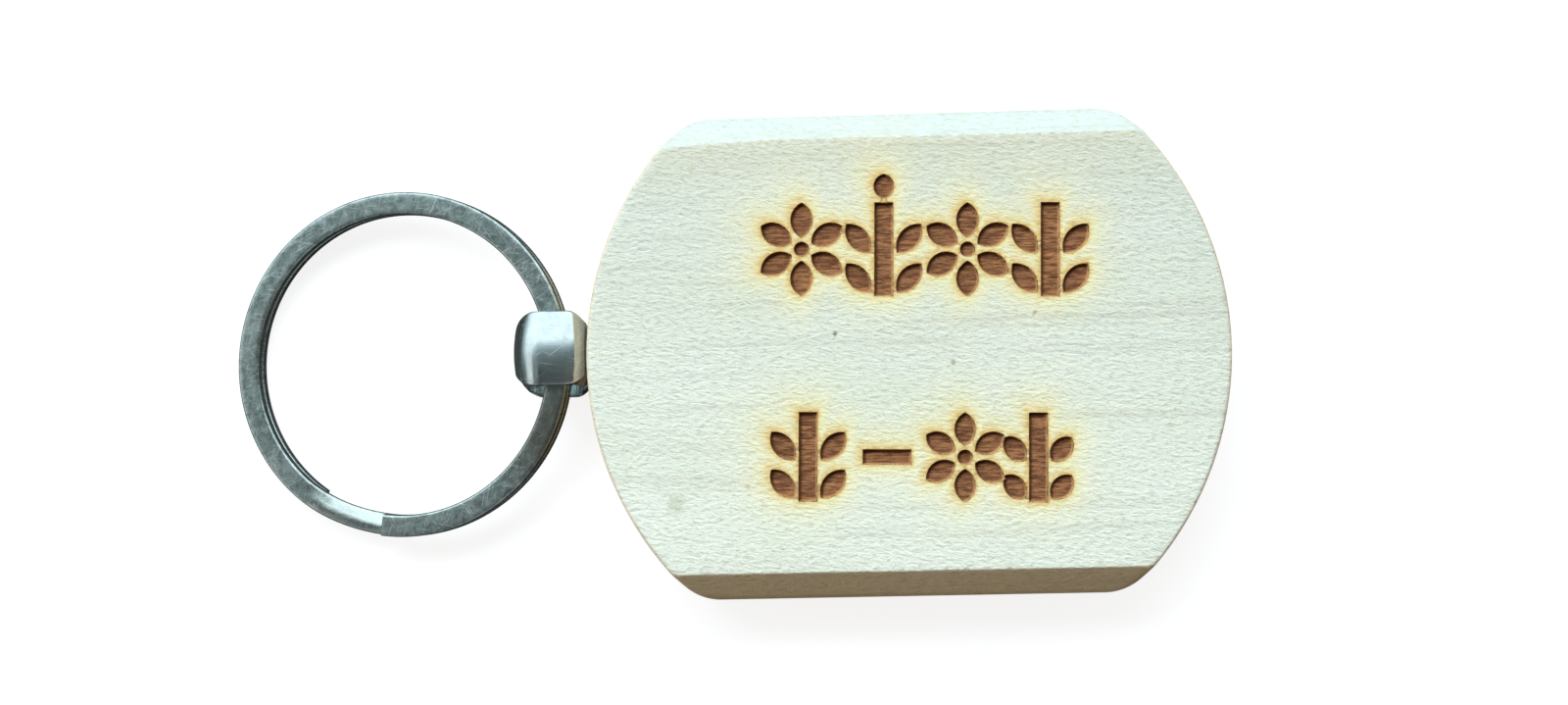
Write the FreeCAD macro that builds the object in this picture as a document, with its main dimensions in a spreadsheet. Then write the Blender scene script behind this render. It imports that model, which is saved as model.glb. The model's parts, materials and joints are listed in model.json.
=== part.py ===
"""Wooden key-ring fob: a bevelled wood block with an engraved ornament, a pressed metal strap pinned and
glued into the block's left end, and a split ring of two turns that swings in the strap's eye.

Frame: the block lies on its back face at z = 0 with the engraved face up.  The origin is the middle of the
back face, +X runs along the block away from the ring, +Y across it.  All sizes are in millimetres.
"""
import FreeCAD, Part
import math
import os

import Sketcher
from FreeCAD import Placement, Rotation, Vector

DIMENSIONS = [
    # alias, value, meaning
    ("block_length", 54.0, "block, tip to tip of its curved ends"),
    ("block_width", 41.0, "block, across its straight long sides"),
    ("block_thickness", 10.0, "block, back face to engraved face"),
    ("end_radius", 27.5, "radius of the curved ends in plan"),
    ("corner_radius", 4.0, "rounding where a curved end meets a long side"),
    ("bevel_width", 2.3, "bevel along each long edge, measured on the face"),
    ("bevel_depth", 3.0, "bevel along each long edge, measured down the side"),
    ("edge_rounding", 0.4, "sanded rounding of the curved edges"),
    ("hole_diameter", 5.2, "blind hole that takes the strap's legs"),
    ("hole_depth", 9.5, "depth of that hole from the end's tip"),
    ("hole_offset", 0.7, "hole axis above the block's centre line"),
    ("engraving_depth", 0.5, "depth of the burned ornament"),
    ("engraving_turn", -1.4, "ornament's turn on the face, degrees"),
    ("sheet_thickness", 0.6, "strap metal"),
    ("strap_width", 6.4, "strap, full width at the eye"),
    ("strap_leg_width", 4.0, "strap, width of the legs in the hole"),
    ("strap_reach", 6.65, "strap's outer bend beyond the block's end"),
    ("strap_height", 7.8, "strap, outside to outside of the eye"),
    ("strap_leg_depth", 8.8, "length of the legs inside the hole"),
    ("leg_spacing", 2.4, "mid-plane to mid-plane of the two legs"),
    ("bend_radius", 2.4, "eye's outer bends, mid-plane of the metal"),
    ("shoulder_radius", 1.4, "eye's bends next to the block, mid-plane"),
    ("neck_radius", 0.45, "bends between shoulder and leg, mid-plane"),
    ("neck_gap", 0.05, "neck bend ends this far outside the block"),
    ("crown_radius", 12.0, "strap's outside is crowned across its width"),
    ("strap_corner", 2.0, "plan rounding of the strap at the outer bend"),
    ("strap_shoulder_corner", 1.6, "plan rounding of the strap next to the block"),
    ("strap_neck_reach", 0.3, "strap has its legs' width up to this far outside the block"),
    ("strap_twist", 8.0, "strap's turn about the hole axis, degrees"),
    ("leg_hole_diameter", 1.8, "punched hole in each leg for the pin"),
    ("pin_inset", 6.0, "pin axis, inward from the block's end"),
    ("pin_diameter", 1.2, "shank of the pin"),
    ("pin_length", 7.8, "pin, back face to point"),
    ("pin_head_diameter", 2.0, "head of the pin"),
    ("pin_head_thickness", 0.4, "head of the pin"),
    ("pin_point", 0.8, "length of the pin's point"),
    ("pin_recess", 0.05, "pin head below the back face"),
    ("glue_recess", 0.3, "glue below the hole's mouth"),
    ("ring_diameter", 30.0, "split ring, outside"),
    ("wire_width", 1.9, "split ring wire, radial"),
    ("coil_thickness", 1.0, "split ring wire, along the ring's axis"),
    ("coil_pitch", 1.06, "one turn to the next"),
    ("split_angle", 262.0, "angle of the upper turn's cut end, degrees"),
    ("ramp_angle", 26.0, "angle of the ramp between the turns, degrees"),
    ("pivot_reach", 3.2, "axis that the ring swings about, beyond the block's end"),
    ("ring_slack", 0.33, "at rest the ring's wire lies this much nearer the block than that axis"),
    ("ring_offset", 0.25, "ring's centre above the block's centre line"),
]
RAMP_STEPS = 6  # sections along the ramp between the ring's turns
OUTSIDE = 3.0  # how far cutting profiles run past the metal or the wood
SKIM = 0.01  # the strap's plan outline clears its outermost bend by this
TINY = 1e-6  # lengths below this are taken as equal
LEAST_CUT = 0.01  # a cut has to take away at least this volume

# the ornament: two rows of flowers and sprigs, laid out in the engraving's own turned frame
FLOWER_PETALS = 6
FLOWER_DOT = 0.65  # radius of the dot in the middle
FLOWER_EYE = 0.95  # petals start at this radius
STEM_WIDTH = 1.6
LEAF_WIDTH = 1.75
LEAF_GAP = 0.3  # between a leaf and its stem
LEAF_RISE = 50.0  # degrees above the row
LEAF_LEVELS = (0.04, 0.46)  # where the pairs of leaves start, as shares of the stem's height

UPPER_MIDDLE = (1.12, 8.65)
UPPER_FLOWERS = (-10.0, 3.9)  # places along the row, from its middle
UPPER_FLOWER_RADIUS = 3.95
UPPER_PETAL_WIDTH = 1.9
UPPER_CRESTED_SPRIG = -3.1
UPPER_PLAIN_SPRIG = 10.8
UPPER_HEIGHT = 7.9
UPPER_LEAF = 3.2
CREST_LEAF = 2.1

LOWER_MIDDLE = (0.92, -8.73)
LOWER_SPRIGS = ((-9.2, 3.1), (10.0, 2.6))  # place along the row, leaf length
LOWER_HEIGHT = 7.5
LOWER_BAR = -2.6
BAR_SIZE = (4.1, 1.3)
LOWER_FLOWER = 3.9
LOWER_FLOWER_RADIUS = 3.75
LOWER_PETAL_WIDTH = 1.8

doc = FreeCAD.newDocument("key_fob")
sheet = doc.addObject("Spreadsheet::Sheet", "Dimensions")
for row, (alias, value, meaning) in enumerate(DIMENSIONS, start=1):
    sheet.set(f"A{row}", meaning)
    sheet.set(f"B{row}", str(value))
    sheet.setAlias(f"B{row}", alias)
doc.recompute()


def size(alias):
    """The value of one driving dimension."""
    return float(sheet.get(alias))


def cell(formula):
    """Turns '{block_length} / 2' into an expression on the sheet's cells."""
    return formula.replace("{", "Dimensions.").replace("}", "")


# ---- helpers -------------------------------------------------------------------------------------


def new_body(name):
    body = doc.addObject("PartDesign::Body", name)
    body.Label = name
    return body


def origin_plane(body, role):
    return next(item for item in body.Origin.OriginFeatures if item.Role == role)


def new_sketch(body, name, role, offset=Placement()):
    """A sketch on one of the body's own origin planes, moved by offset in that plane's coordinates."""
    sketch = body.newObject("Sketcher::SketchObject", name)
    sketch.AttachmentSupport = [(origin_plane(body, role), "")]
    sketch.MapMode = "FlatFace"
    sketch.AttachmentOffset = offset
    return sketch


def bind(sketch, formula, kind, *where):
    """Adds a dimensional constraint whose value follows the sheet."""
    value = float(sketch.evalExpression(cell(formula)))
    index = sketch.addConstraint(Sketcher.Constraint(kind, *where, value))
    sketch.setExpression(f"Constraints[{index}]", cell(formula))


def join(sketch, first, first_point, second, second_point, kind="Coincident"):
    sketch.addConstraint(Sketcher.Constraint(kind, first, first_point, second, second_point))


def add_line(sketch, x0, y0, x1, y1):
    return sketch.addGeometry(Part.LineSegment(Vector(x0, y0, 0), Vector(x1, y1, 0)))


def add_arc(sketch, x, y, radius, start, end):
    """An arc about (x, y) from start to end, in degrees, anticlockwise."""
    circle = Part.Circle(Vector(x, y, 0), Vector(0, 0, 1), radius)
    return sketch.addGeometry(Part.ArcOfCircle(circle, math.radians(start), math.radians(end)))


def add_circle(sketch, x, y, radius):
    return sketch.addGeometry(Part.Circle(Vector(x, y, 0), Vector(0, 0, 1), radius))


def add_feature(body, kind, name, profile=None, **formulas):
    feature = body.newObject(f"PartDesign::{kind}", name)
    if profile is not None:
        feature.Profile = profile
    for key, formula in formulas.items():
        feature.setExpression(key, cell(formula))
    return feature


def cut(body, name, profile, through=False, reverse=False, **formulas):
    """A pocket, with a check that it takes something away."""
    doc.recompute()
    before = body.Shape.Volume
    pocket = add_feature(body, "Pocket", name, profile, **formulas)
    if through:
        pocket.Type = "ThroughAll"
        pocket.SideType = "Symmetric"
    pocket.Reversed = reverse
    doc.recompute()
    assert body.Shape.Volume < before - LEAST_CUT, f"{name} cuts nothing"
    return pocket


# ---- wood block ----------------------------------------------------------------------------------


def block_outline(body):
    """Two straight long sides and two arcs bulging out at the ends, symmetric about both axes."""
    half_width = size("block_width") / 2
    radius = size("end_radius")
    centre = radius - size("block_length") / 2
    side_end = math.sqrt(radius**2 - half_width**2) - centre
    spread = math.degrees(math.asin(half_width / radius))
    sketch = new_sketch(body, "block_outline", "XY_Plane")
    top = add_line(sketch, -side_end, half_width, side_end, half_width)
    bottom = add_line(sketch, side_end, -half_width, -side_end, -half_width)
    left = add_arc(sketch, centre, 0, radius, 180 - spread, 180 + spread)
    right = add_arc(sketch, -centre, 0, radius, -spread, spread)
    join(sketch, top, 1, left, 1)
    join(sketch, top, 2, right, 2)
    join(sketch, bottom, 1, right, 1)
    join(sketch, bottom, 2, left, 2)
    sketch.addConstraint(Sketcher.Constraint("Horizontal", top))
    sketch.addConstraint(Sketcher.Constraint("Symmetric", right, 3, left, 3, -1, 1))
    sketch.addConstraint(Sketcher.Constraint("PointOnObject", right, 3, -1))
    sketch.addConstraint(Sketcher.Constraint("Symmetric", right, 1, right, 2, -1))
    sketch.addConstraint(Sketcher.Constraint("Equal", left, right))
    bind(sketch, "{end_radius}", "Radius", right)
    bind(sketch, "2 * {end_radius} - {block_length}", "DistanceX", right, 3, left, 3)
    bind(sketch, "{block_width}", "DistanceY", right, 1, right, 2)
    return sketch


def bevel_profile(body):
    """Four right triangles, one at each long edge, seen along X."""
    half_width = size("block_width") / 2
    thickness = size("block_thickness")
    width = size("bevel_width")
    depth = size("bevel_depth")
    sketch = new_sketch(body, "bevel_profile", "YZ_Plane")
    for side in (-1, 1):
        for level, inward in ((0.0, 1), (thickness, -1)):
            corner = (side * half_width, level)
            on_face = (side * (half_width - width), level)
            on_side = (side * half_width, level + inward * depth)
            along = add_line(sketch, *corner, *on_face)
            slope = add_line(sketch, *on_face, *on_side)
            down = add_line(sketch, *on_side, *corner)
            join(sketch, along, 2, slope, 1)
            join(sketch, slope, 2, down, 1)
            join(sketch, down, 2, along, 1)
            sketch.addConstraint(Sketcher.Constraint("Horizontal", along))
            sketch.addConstraint(Sketcher.Constraint("Vertical", down))
            bind(sketch, "{bevel_width}", "Distance", along)
            bind(sketch, "{bevel_depth}", "Distance", down)
            outward = (-1, 1, along, 1) if side > 0 else (along, 1, -1, 1)
            bind(sketch, "{block_width} / 2", "DistanceX", *outward)
            if level:
                bind(sketch, "{block_thickness}", "DistanceY", -1, 1, along, 1)
            else:
                sketch.addConstraint(Sketcher.Constraint("PointOnObject", along, 1, -1))
    return sketch


def add_leaf(sketch, base, tip, width):
    """A pointed leaf: two equal arcs from base to tip."""
    bulge = (tip - base).cross(Vector(0, 0, 1)).normalize() * (width / 2)
    middle = (base + tip) / 2
    first = sketch.addGeometry(Part.Arc(base, middle + bulge, tip))
    second = sketch.addGeometry(Part.Arc(tip, middle - bulge, base))
    return first, second


def add_bar(sketch, x, y, width, height):
    """An upright rectangle about (x, y)."""
    corners = [(x + sx * width / 2, y + sy * height / 2) for sx, sy in ((-1, -1), (1, -1), (1, 1), (-1, 1))]
    for start, end in zip(corners, corners[1:] + corners[:1]):
        add_line(sketch, *start, *end)


def add_flower(sketch, x, y, radius, petal_width):
    """Petals round a dot."""
    centre = Vector(x, y, 0)
    add_circle(sketch, x, y, FLOWER_DOT)
    for petal in range(FLOWER_PETALS):
        angle = math.radians(90 + 360 / FLOWER_PETALS * petal)
        ray = Vector(math.cos(angle), math.sin(angle), 0)
        add_leaf(sketch, centre + ray * FLOWER_EYE, centre + ray * radius, petal_width)


def add_sprig(sketch, x, y, height, leaf_length, crest=0.0):
    """A stem with two pairs of leaves, and a crest leaf above it where crest is its length."""
    add_bar(sketch, x, y, STEM_WIDTH, height)
    rise = math.radians(LEAF_RISE)
    for level in LEAF_LEVELS:
        for side in (-1, 1):
            base = Vector(x + side * (STEM_WIDTH / 2 + LEAF_GAP), y - height / 2 + level * height, 0)
            reach = Vector(side * math.cos(rise), math.sin(rise), 0) * leaf_length
            add_leaf(sketch, base, base + reach, LEAF_WIDTH)
    if crest:
        foot = Vector(x, y + height / 2 + LEAF_GAP, 0)
        add_leaf(sketch, foot, foot + Vector(0, crest, 0), LEAF_WIDTH)


def ornament(body):
    offset = Placement(Vector(0, 0, 0), Rotation(Vector(0, 0, 1), size("engraving_turn")))
    sketch = new_sketch(body, "ornament", "XY_Plane", offset)
    sketch.setExpression(".AttachmentOffset.Base.z", cell("{block_thickness}"))
    x, y = UPPER_MIDDLE
    for place in UPPER_FLOWERS:
        add_flower(sketch, x + place, y, UPPER_FLOWER_RADIUS, UPPER_PETAL_WIDTH)
    add_sprig(sketch, x + UPPER_CRESTED_SPRIG, y, UPPER_HEIGHT, UPPER_LEAF, CREST_LEAF)
    add_sprig(sketch, x + UPPER_PLAIN_SPRIG, y, UPPER_HEIGHT, UPPER_LEAF)
    x, y = LOWER_MIDDLE
    for place, leaf_length in LOWER_SPRIGS:
        add_sprig(sketch, x + place, y, LOWER_HEIGHT, leaf_length)
    add_bar(sketch, x + LOWER_BAR, y, *BAR_SIZE)
    add_flower(sketch, x + LOWER_FLOWER, y, LOWER_FLOWER_RADIUS, LOWER_PETAL_WIDTH)
    return sketch


def curved_rims(shape, radius, levels):
    """Names of the arcs of this radius that lie at one of these heights."""
    names = []
    for index, edge in enumerate(shape.Edges, start=1):
        box = edge.BoundBox
        flat = box.ZLength < TINY and any(abs(box.ZMin - level) < TINY for level in levels)
        if flat and isinstance(edge.Curve, Part.Circle) and abs(edge.Curve.Radius - radius) < TINY:
            names.append(f"Edge{index}")
    return names


def make_wood_block():
    body = new_body("wood_block")
    blank = add_feature(body, "Pad", "blank", block_outline(body), Length="{block_thickness}")
    doc.recompute()
    uprights = [
        f"Edge{index}"
        for index, edge in enumerate(blank.Shape.Edges, start=1)
        if edge.BoundBox.XLength < TINY and edge.BoundBox.YLength < TINY
    ]
    corners = add_feature(body, "Fillet", "corners", Radius="{corner_radius}")
    corners.Base = (blank, uprights)
    bevels = cut(body, "bevels", bevel_profile(body), through=True)
    rims = curved_rims(bevels.Shape, size("end_radius"), (0.0, size("block_thickness")))
    sanding = add_feature(body, "Fillet", "sanding", Radius="{edge_rounding}")
    sanding.Base = (bevels, rims)

    # the sketch stands just outside the left end and the cut runs in along +X
    outside = Placement(Vector(0, 0, -size("block_length") / 2 - OUTSIDE), Rotation())
    mouth = new_sketch(body, "strap_hole_mouth", "YZ_Plane", outside)
    hole = add_circle(mouth, size("hole_offset"), size("block_thickness") / 2, size("hole_diameter") / 2)
    bind(mouth, "{hole_diameter}", "Diameter", hole)
    bind(mouth, "{hole_offset}", "DistanceX", -1, 1, hole, 3)
    bind(mouth, "{block_thickness} / 2", "DistanceY", -1, 1, hole, 3)
    cut(body, "strap_hole", mouth, reverse=True, Length=f"{{hole_depth}} + {OUTSIDE}")

    # pilot hole and counterbore for the pin, from the back
    for name, diameter, depth in (
        ("pin_pilot", "{pin_diameter}", "{pin_length} + {pin_recess}"),
        ("pin_counterbore", "{pin_head_diameter}", "{pin_head_thickness} + {pin_recess}"),
    ):
        start = new_sketch(body, f"{name}_start", "XY_Plane")
        x = size("pin_inset") - size("block_length") / 2
        circle = add_circle(start, x, size("hole_offset"), size("pin_diameter") / 2)
        bind(start, diameter, "Diameter", circle)
        bind(start, "{block_length} / 2 - {pin_inset}", "DistanceX", circle, 3, -1, 1)
        bind(start, "{hole_offset}", "DistanceY", -1, 1, circle, 3)
        cut(body, name, start, reverse=True, Length=depth)

    cut(body, "engraving", ornament(body), Length="{engraving_depth}")
    return body


# ---- strap loop ----------------------------------------------------------------------------------
# Its own frame: the origin is on the hole's axis in the plane of the block's end, +X runs into the hole.


def strap_path(body):
    """Mid-line of the strip seen from the side, from the end of one leg round the eye to the other."""
    leg = size("leg_spacing") / 2
    top = (size("strap_height") - size("sheet_thickness")) / 2
    neck = size("neck_radius")
    shoulder = size("shoulder_radius")
    bend = size("bend_radius")
    inner = -size("neck_gap")
    wall = inner - neck
    apex = size("sheet_thickness") / 2 - size("strap_reach")
    sketch = new_sketch(body, "strap_path", "XZ_Plane")
    ends = []
    for side in (1, -1):
        legs = add_line(sketch, size("strap_leg_depth"), side * leg, inner, side * leg)
        quarter = (180, 270) if side > 0 else (90, 180)
        necks = add_arc(sketch, inner, side * (leg + neck), neck, *quarter)
        walls = add_line(sketch, wall, side * (leg + neck), wall, side * (top - shoulder))
        quarter = (0, 90) if side > 0 else (270, 360)
        shoulders = add_arc(sketch, wall - shoulder, side * (top - shoulder), shoulder, *quarter)
        faces = add_line(sketch, wall - shoulder, side * top, apex + bend, side * top)
        quarter = (90, 180) if side > 0 else (180, 270)
        bends = add_arc(sketch, apex + bend, side * (top - bend), bend, *quarter)
        near, far = (1, 2) if side > 0 else (2, 1)
        join(sketch, legs, 2, necks, far, "Tangent")
        join(sketch, necks, near, walls, 1, "Tangent")
        join(sketch, walls, 2, shoulders, near, "Tangent")
        join(sketch, shoulders, far, faces, 1, "Tangent")
        join(sketch, faces, 2, bends, near, "Tangent")
        sketch.addConstraint(Sketcher.Constraint("Horizontal", legs))
        sketch.addConstraint(Sketcher.Constraint("Vertical", walls))
        sketch.addConstraint(Sketcher.Constraint("Horizontal", faces))
        bind(sketch, "{neck_radius}", "Radius", necks)
        bind(sketch, "{shoulder_radius}", "Radius", shoulders)
        bind(sketch, "{bend_radius}", "Radius", bends)
        bind(sketch, "{strap_leg_depth}", "DistanceX", -1, 1, legs, 1)
        bind(sketch, "{neck_gap}", "DistanceX", legs, 2, -1, 1)
        half_height = "({strap_height} - {sheet_thickness}) / 2"
        for line, formula in ((legs, "{leg_spacing} / 2"), (faces, half_height)):
            upward = (-1, 1, line, 1) if side > 0 else (line, 1, -1, 1)
            bind(sketch, formula, "DistanceY", *upward)
        ends.append((bends, far))
    nose = add_line(sketch, apex, top - bend, apex, bend - top)
    for point, (bends, far) in enumerate(ends, start=1):
        join(sketch, bends, far, nose, point, "Tangent")
    sketch.addConstraint(Sketcher.Constraint("Vertical", nose))
    bind(sketch, "{strap_reach} - {sheet_thickness} / 2", "DistanceX", nose, 1, -1, 1)
    return sketch


def strap_section(body):
    """Crowned strip: two concentric arcs closed by short straight ends."""
    leg = size("leg_spacing") / 2
    half_width = size("strap_width") / 2
    outer = size("crown_radius")
    inner = outer - size("sheet_thickness")
    centre = leg + size("sheet_thickness") / 2 - outer
    offset = Placement(Vector(0, 0, size("strap_leg_depth")), Rotation())
    sketch = new_sketch(body, "strap_section", "YZ_Plane", offset)
    sketch.setExpression(".AttachmentOffset.Base.z", cell("{strap_leg_depth}"))
    outer_spread = math.degrees(math.asin(half_width / outer))
    inner_spread = math.degrees(math.asin(half_width / inner))
    crown = add_arc(sketch, 0, centre, outer, 90 - outer_spread, 90 + outer_spread)
    hollow = add_arc(sketch, 0, centre, inner, 90 - inner_spread, 90 + inner_spread)
    for side, point in ((1, 1), (-1, 2)):
        spread = math.radians(outer_spread), math.radians(inner_spread)
        heights = centre + outer * math.cos(spread[0]), centre + inner * math.cos(spread[1])
        edge = add_line(sketch, side * half_width, heights[0], side * half_width, heights[1])
        join(sketch, edge, 1, crown, point)
        join(sketch, edge, 2, hollow, point)
        sketch.addConstraint(Sketcher.Constraint("Vertical", edge))
        outward = (-1, 1, edge, 1) if side > 0 else (edge, 1, -1, 1)
        bind(sketch, "{strap_width} / 2", "DistanceX", *outward)
    join(sketch, crown, 3, hollow, 3)
    sketch.addConstraint(Sketcher.Constraint("PointOnObject", crown, 3, -2))
    bind(sketch, "{crown_radius}", "Radius", crown)
    bind(sketch, "{crown_radius} - {sheet_thickness}", "Radius", hollow)
    drop = "{crown_radius} - {sheet_thickness} / 2 - {leg_spacing} / 2"
    bind(sketch, drop, "DistanceY", crown, 3, -1, 1)
    return sketch


def strap_trim(body):
    """Everything outside the strip's plan outline: full width at the eye, rounded at both ends of it, and
    narrow at the legs."""
    half_width = size("strap_width") / 2
    half_leg = size("strap_leg_width") / 2
    corner = size("strap_corner")
    shoulder = size("strap_shoulder_corner")
    apex = -size("strap_reach") - SKIM
    inside = size("strap_leg_depth") + OUTSIDE
    turn = math.degrees(math.acos(1 - (half_width - half_leg) / shoulder))
    neck = -size("strap_neck_reach")
    shoulder_x = neck - shoulder * math.sin(math.radians(turn))
    sketch = new_sketch(body, "strap_trim", "XY_Plane")
    add_line(sketch, apex, corner - half_width, apex, half_width - corner)
    for side in (1, -1):
        start = (90, 180) if side > 0 else (180, 270)
        add_arc(sketch, apex + corner, side * (half_width - corner), corner, *start)
        add_line(sketch, apex + corner, side * half_width, shoulder_x, side * half_width)
        start = (90 - turn, 90) if side > 0 else (270, 270 + turn)
        add_arc(sketch, shoulder_x, side * (half_width - shoulder), shoulder, *start)
        add_line(sketch, neck, side * half_leg, inside, side * half_leg)
    add_line(sketch, inside, -half_leg, inside, half_leg)
    frame = [(apex - OUTSIDE, -half_width - OUTSIDE), (inside + OUTSIDE, -half_width - OUTSIDE)]
    frame += [(inside + OUTSIDE, half_width + OUTSIDE), (apex - OUTSIDE, half_width + OUTSIDE)]
    for start, end in zip(frame, frame[1:] + frame[:1]):
        add_line(sketch, *start, *end)
    return sketch


def make_strap_loop():
    body = new_body("strap_loop")
    strip = add_feature(body, "AdditivePipe", "strip", strap_section(body))
    strip.Spine = (strap_path(body), [""])
    cut(body, "plan_outline", strap_trim(body), through=True)
    punch = new_sketch(body, "leg_hole_centre", "XY_Plane")
    circle = add_circle(punch, size("pin_inset"), 0, size("leg_hole_diameter") / 2)
    bind(punch, "{leg_hole_diameter}", "Diameter", circle)
    bind(punch, "{pin_inset}", "DistanceX", -1, 1, circle, 3)
    punch.addConstraint(Sketcher.Constraint("PointOnObject", circle, 3, -1))
    cut(body, "leg_holes", punch, through=True)
    body.setExpression("Placement.Base.x", cell("-{block_length} / 2"))
    body.setExpression("Placement.Base.y", cell("{hole_offset}"))
    body.setExpression("Placement.Base.z", cell("{block_thickness} / 2"))
    body.Placement.Rotation = Rotation(Vector(1, 0, 0), -size("strap_twist"))
    return body


# ---- retaining pin and glue ----------------------------------------------------------------------


def make_retaining_pin():
    """A brad turned about Z: flat head at the back face, shank, point."""
    body = new_body("retaining_pin")
    head = size("pin_head_diameter") / 2
    shank = size("pin_diameter") / 2
    collar = size("pin_head_thickness")
    end = size("pin_length")
    tip = end - size("pin_point")
    profile = new_sketch(body, "pin_profile", "XZ_Plane")
    points = [(0, 0), (head, 0), (head, collar), (shank, collar), (shank, tip), (0, end)]
    lines = [add_line(profile, *start, *finish) for start, finish in zip(points, points[1:] + points[:1])]
    for line, following in zip(lines, lines[1:] + lines[:1]):
        join(profile, line, 2, following, 1)
    for line in (lines[0], lines[2]):
        profile.addConstraint(Sketcher.Constraint("Horizontal", line))
    for line in (lines[1], lines[3], lines[5]):
        profile.addConstraint(Sketcher.Constraint("Vertical", line))
    join(profile, lines[0], 1, -1, 1)
    bind(profile, "{pin_head_diameter} / 2", "DistanceX", -1, 1, lines[1], 1)
    bind(profile, "{pin_diameter} / 2", "DistanceX", -1, 1, lines[3], 1)
    bind(profile, "{pin_head_thickness}", "DistanceY", -1, 1, lines[1], 2)
    bind(profile, "{pin_length}", "DistanceY", -1, 1, lines[5], 1)
    bind(profile, "{pin_point}", "DistanceY", lines[3], 2, lines[5], 1)
    turned = add_feature(body, "Revolution", "turned", profile)
    turned.ReferenceAxis = (profile, ["V_Axis"])
    turned.Angle = 360
    body.setExpression("Placement.Base.x", cell("{pin_inset} - {block_length} / 2"))
    body.setExpression("Placement.Base.y", cell("{hole_offset}"))
    body.setExpression("Placement.Base.z", cell("{pin_recess}"))
    return body


def make_adhesive_plug(strap, pin):
    """The glue fills what the legs and the pin leave of the hole."""
    filling = doc.addObject("Part::Cylinder", "hole_filling")
    filling.setExpression("Radius", cell("{hole_diameter} / 2"))
    filling.setExpression("Height", cell("{hole_depth} - {glue_recess}"))
    filling.Placement.Rotation = Rotation(Vector(0, 1, 0), 90)
    filling.setExpression("Placement.Base.x", cell("{glue_recess} - {block_length} / 2"))
    filling.setExpression("Placement.Base.y", cell("{hole_offset}"))
    filling.setExpression("Placement.Base.z", cell("{block_thickness} / 2"))
    round_legs = doc.addObject("Part::Cut", "glue_round_legs")
    round_legs.Base = filling
    round_legs.Tool = strap
    plug = doc.addObject("Part::Cut", "adhesive_plug")
    plug.Label = "adhesive_plug"
    plug.Base = round_legs
    plug.Tool = pin
    return plug


# ---- split ring ----------------------------------------------------------------------------------
# Its own frame: +Z is the ring's axis, z = 0 its lower face.


def wire_section(body, name, angle, level):
    """The wire's rectangle in the half-plane at this angle, its lower edge at this level."""
    offset = Placement(Vector(0, level, 0), Rotation(Vector(0, 1, 0), angle))
    sketch = new_sketch(body, name, "XZ_Plane", offset)
    outer = size("ring_diameter") / 2
    inner = outer - size("wire_width")
    height = size("coil_thickness")
    points = [(inner, 0), (outer, 0), (outer, height), (inner, height)]
    lines = [add_line(sketch, *start, *finish) for start, finish in zip(points, points[1:] + points[:1])]
    for line, following in zip(lines, lines[1:] + lines[:1]):
        join(sketch, line, 2, following, 1)
    for line in (lines[0], lines[2]):
        sketch.addConstraint(Sketcher.Constraint("Horizontal", line))
    for line in (lines[1], lines[3]):
        sketch.addConstraint(Sketcher.Constraint("Vertical", line))
    sketch.addConstraint(Sketcher.Constraint("PointOnObject", lines[0], 1, -1))
    bind(sketch, "{ring_diameter} / 2", "DistanceX", -1, 1, lines[1], 1)
    bind(sketch, "{wire_width}", "Distance", lines[0])
    bind(sketch, "{coil_thickness}", "Distance", lines[1])
    return sketch


def make_split_ring():
    """The upper turn starts at its cut end and runs anticlockwise, the ramp takes it down under that end,
    and the lower turn runs on to its own cut end under the top of the ramp."""
    body = new_body("split_ring")
    split = size("split_angle")
    ramp = size("ramp_angle")
    pitch = size("coil_pitch")
    for name, level in (("upper_turn", pitch), ("lower_turn", 0.0)):
        section = wire_section(body, f"{name}_section", split, level)
        turn = add_feature(body, "Revolution", name, section, Angle="360 - {ramp_angle}")
        turn.ReferenceAxis = (section, ["V_Axis"])
        doc.recompute()
    sections = []
    for step in range(RAMP_STEPS + 1):
        share = step / RAMP_STEPS
        fall = share * share * (3 - 2 * share)
        angle = split - ramp * (1 - share)
        sections.append(wire_section(body, f"ramp_section_{step}", angle, pitch * (1 - fall)))
    crank = body.newObject("PartDesign::AdditiveLoft", "ramp")
    crank.Profile = sections[0]
    crank.Sections = sections[1:]
    doc.recompute()

    # the ring's left rim rests on the plane z = 0, and its right side hangs at the height of the hole's axis
    middle = (size("ring_diameter") - size("wire_width")) / 2
    half_stack = (pitch + size("coil_thickness")) / 2
    span = size("ring_diameter") / 2 + middle
    pivot_height = size("block_thickness") / 2
    tilt = math.asin(pivot_height / math.hypot(span, half_stack)) - math.atan2(half_stack, span)
    along = Vector(math.cos(tilt), 0, math.sin(tilt))
    normal = Vector(-math.sin(tilt), 0, math.cos(tilt))
    pivot_x = -size("block_length") / 2 - size("pivot_reach")
    pivot = Vector(pivot_x, size("ring_offset"), pivot_height)
    centre = pivot + Vector(size("ring_slack"), 0, 0) - along * middle
    body.Placement = Placement(centre - normal * half_stack, Rotation(Vector(0, 1, 0), -math.degrees(tilt)))
    print("ring tilt", round(math.degrees(tilt), 3), "pivot", pivot, "centre", centre)
    return body


# ---- build, check and write ----------------------------------------------------------------------

wood_block = make_wood_block()
strap_loop = make_strap_loop()
retaining_pin = make_retaining_pin()
doc.recompute()
adhesive_plug = make_adhesive_plug(strap_loop, retaining_pin)
split_ring = make_split_ring()
doc.recompute()

for item in doc.Objects:
    bad = [state for state in item.State if state in ("Invalid", "Error")]
    assert not bad, f"{item.Name} is {bad}"

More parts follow.
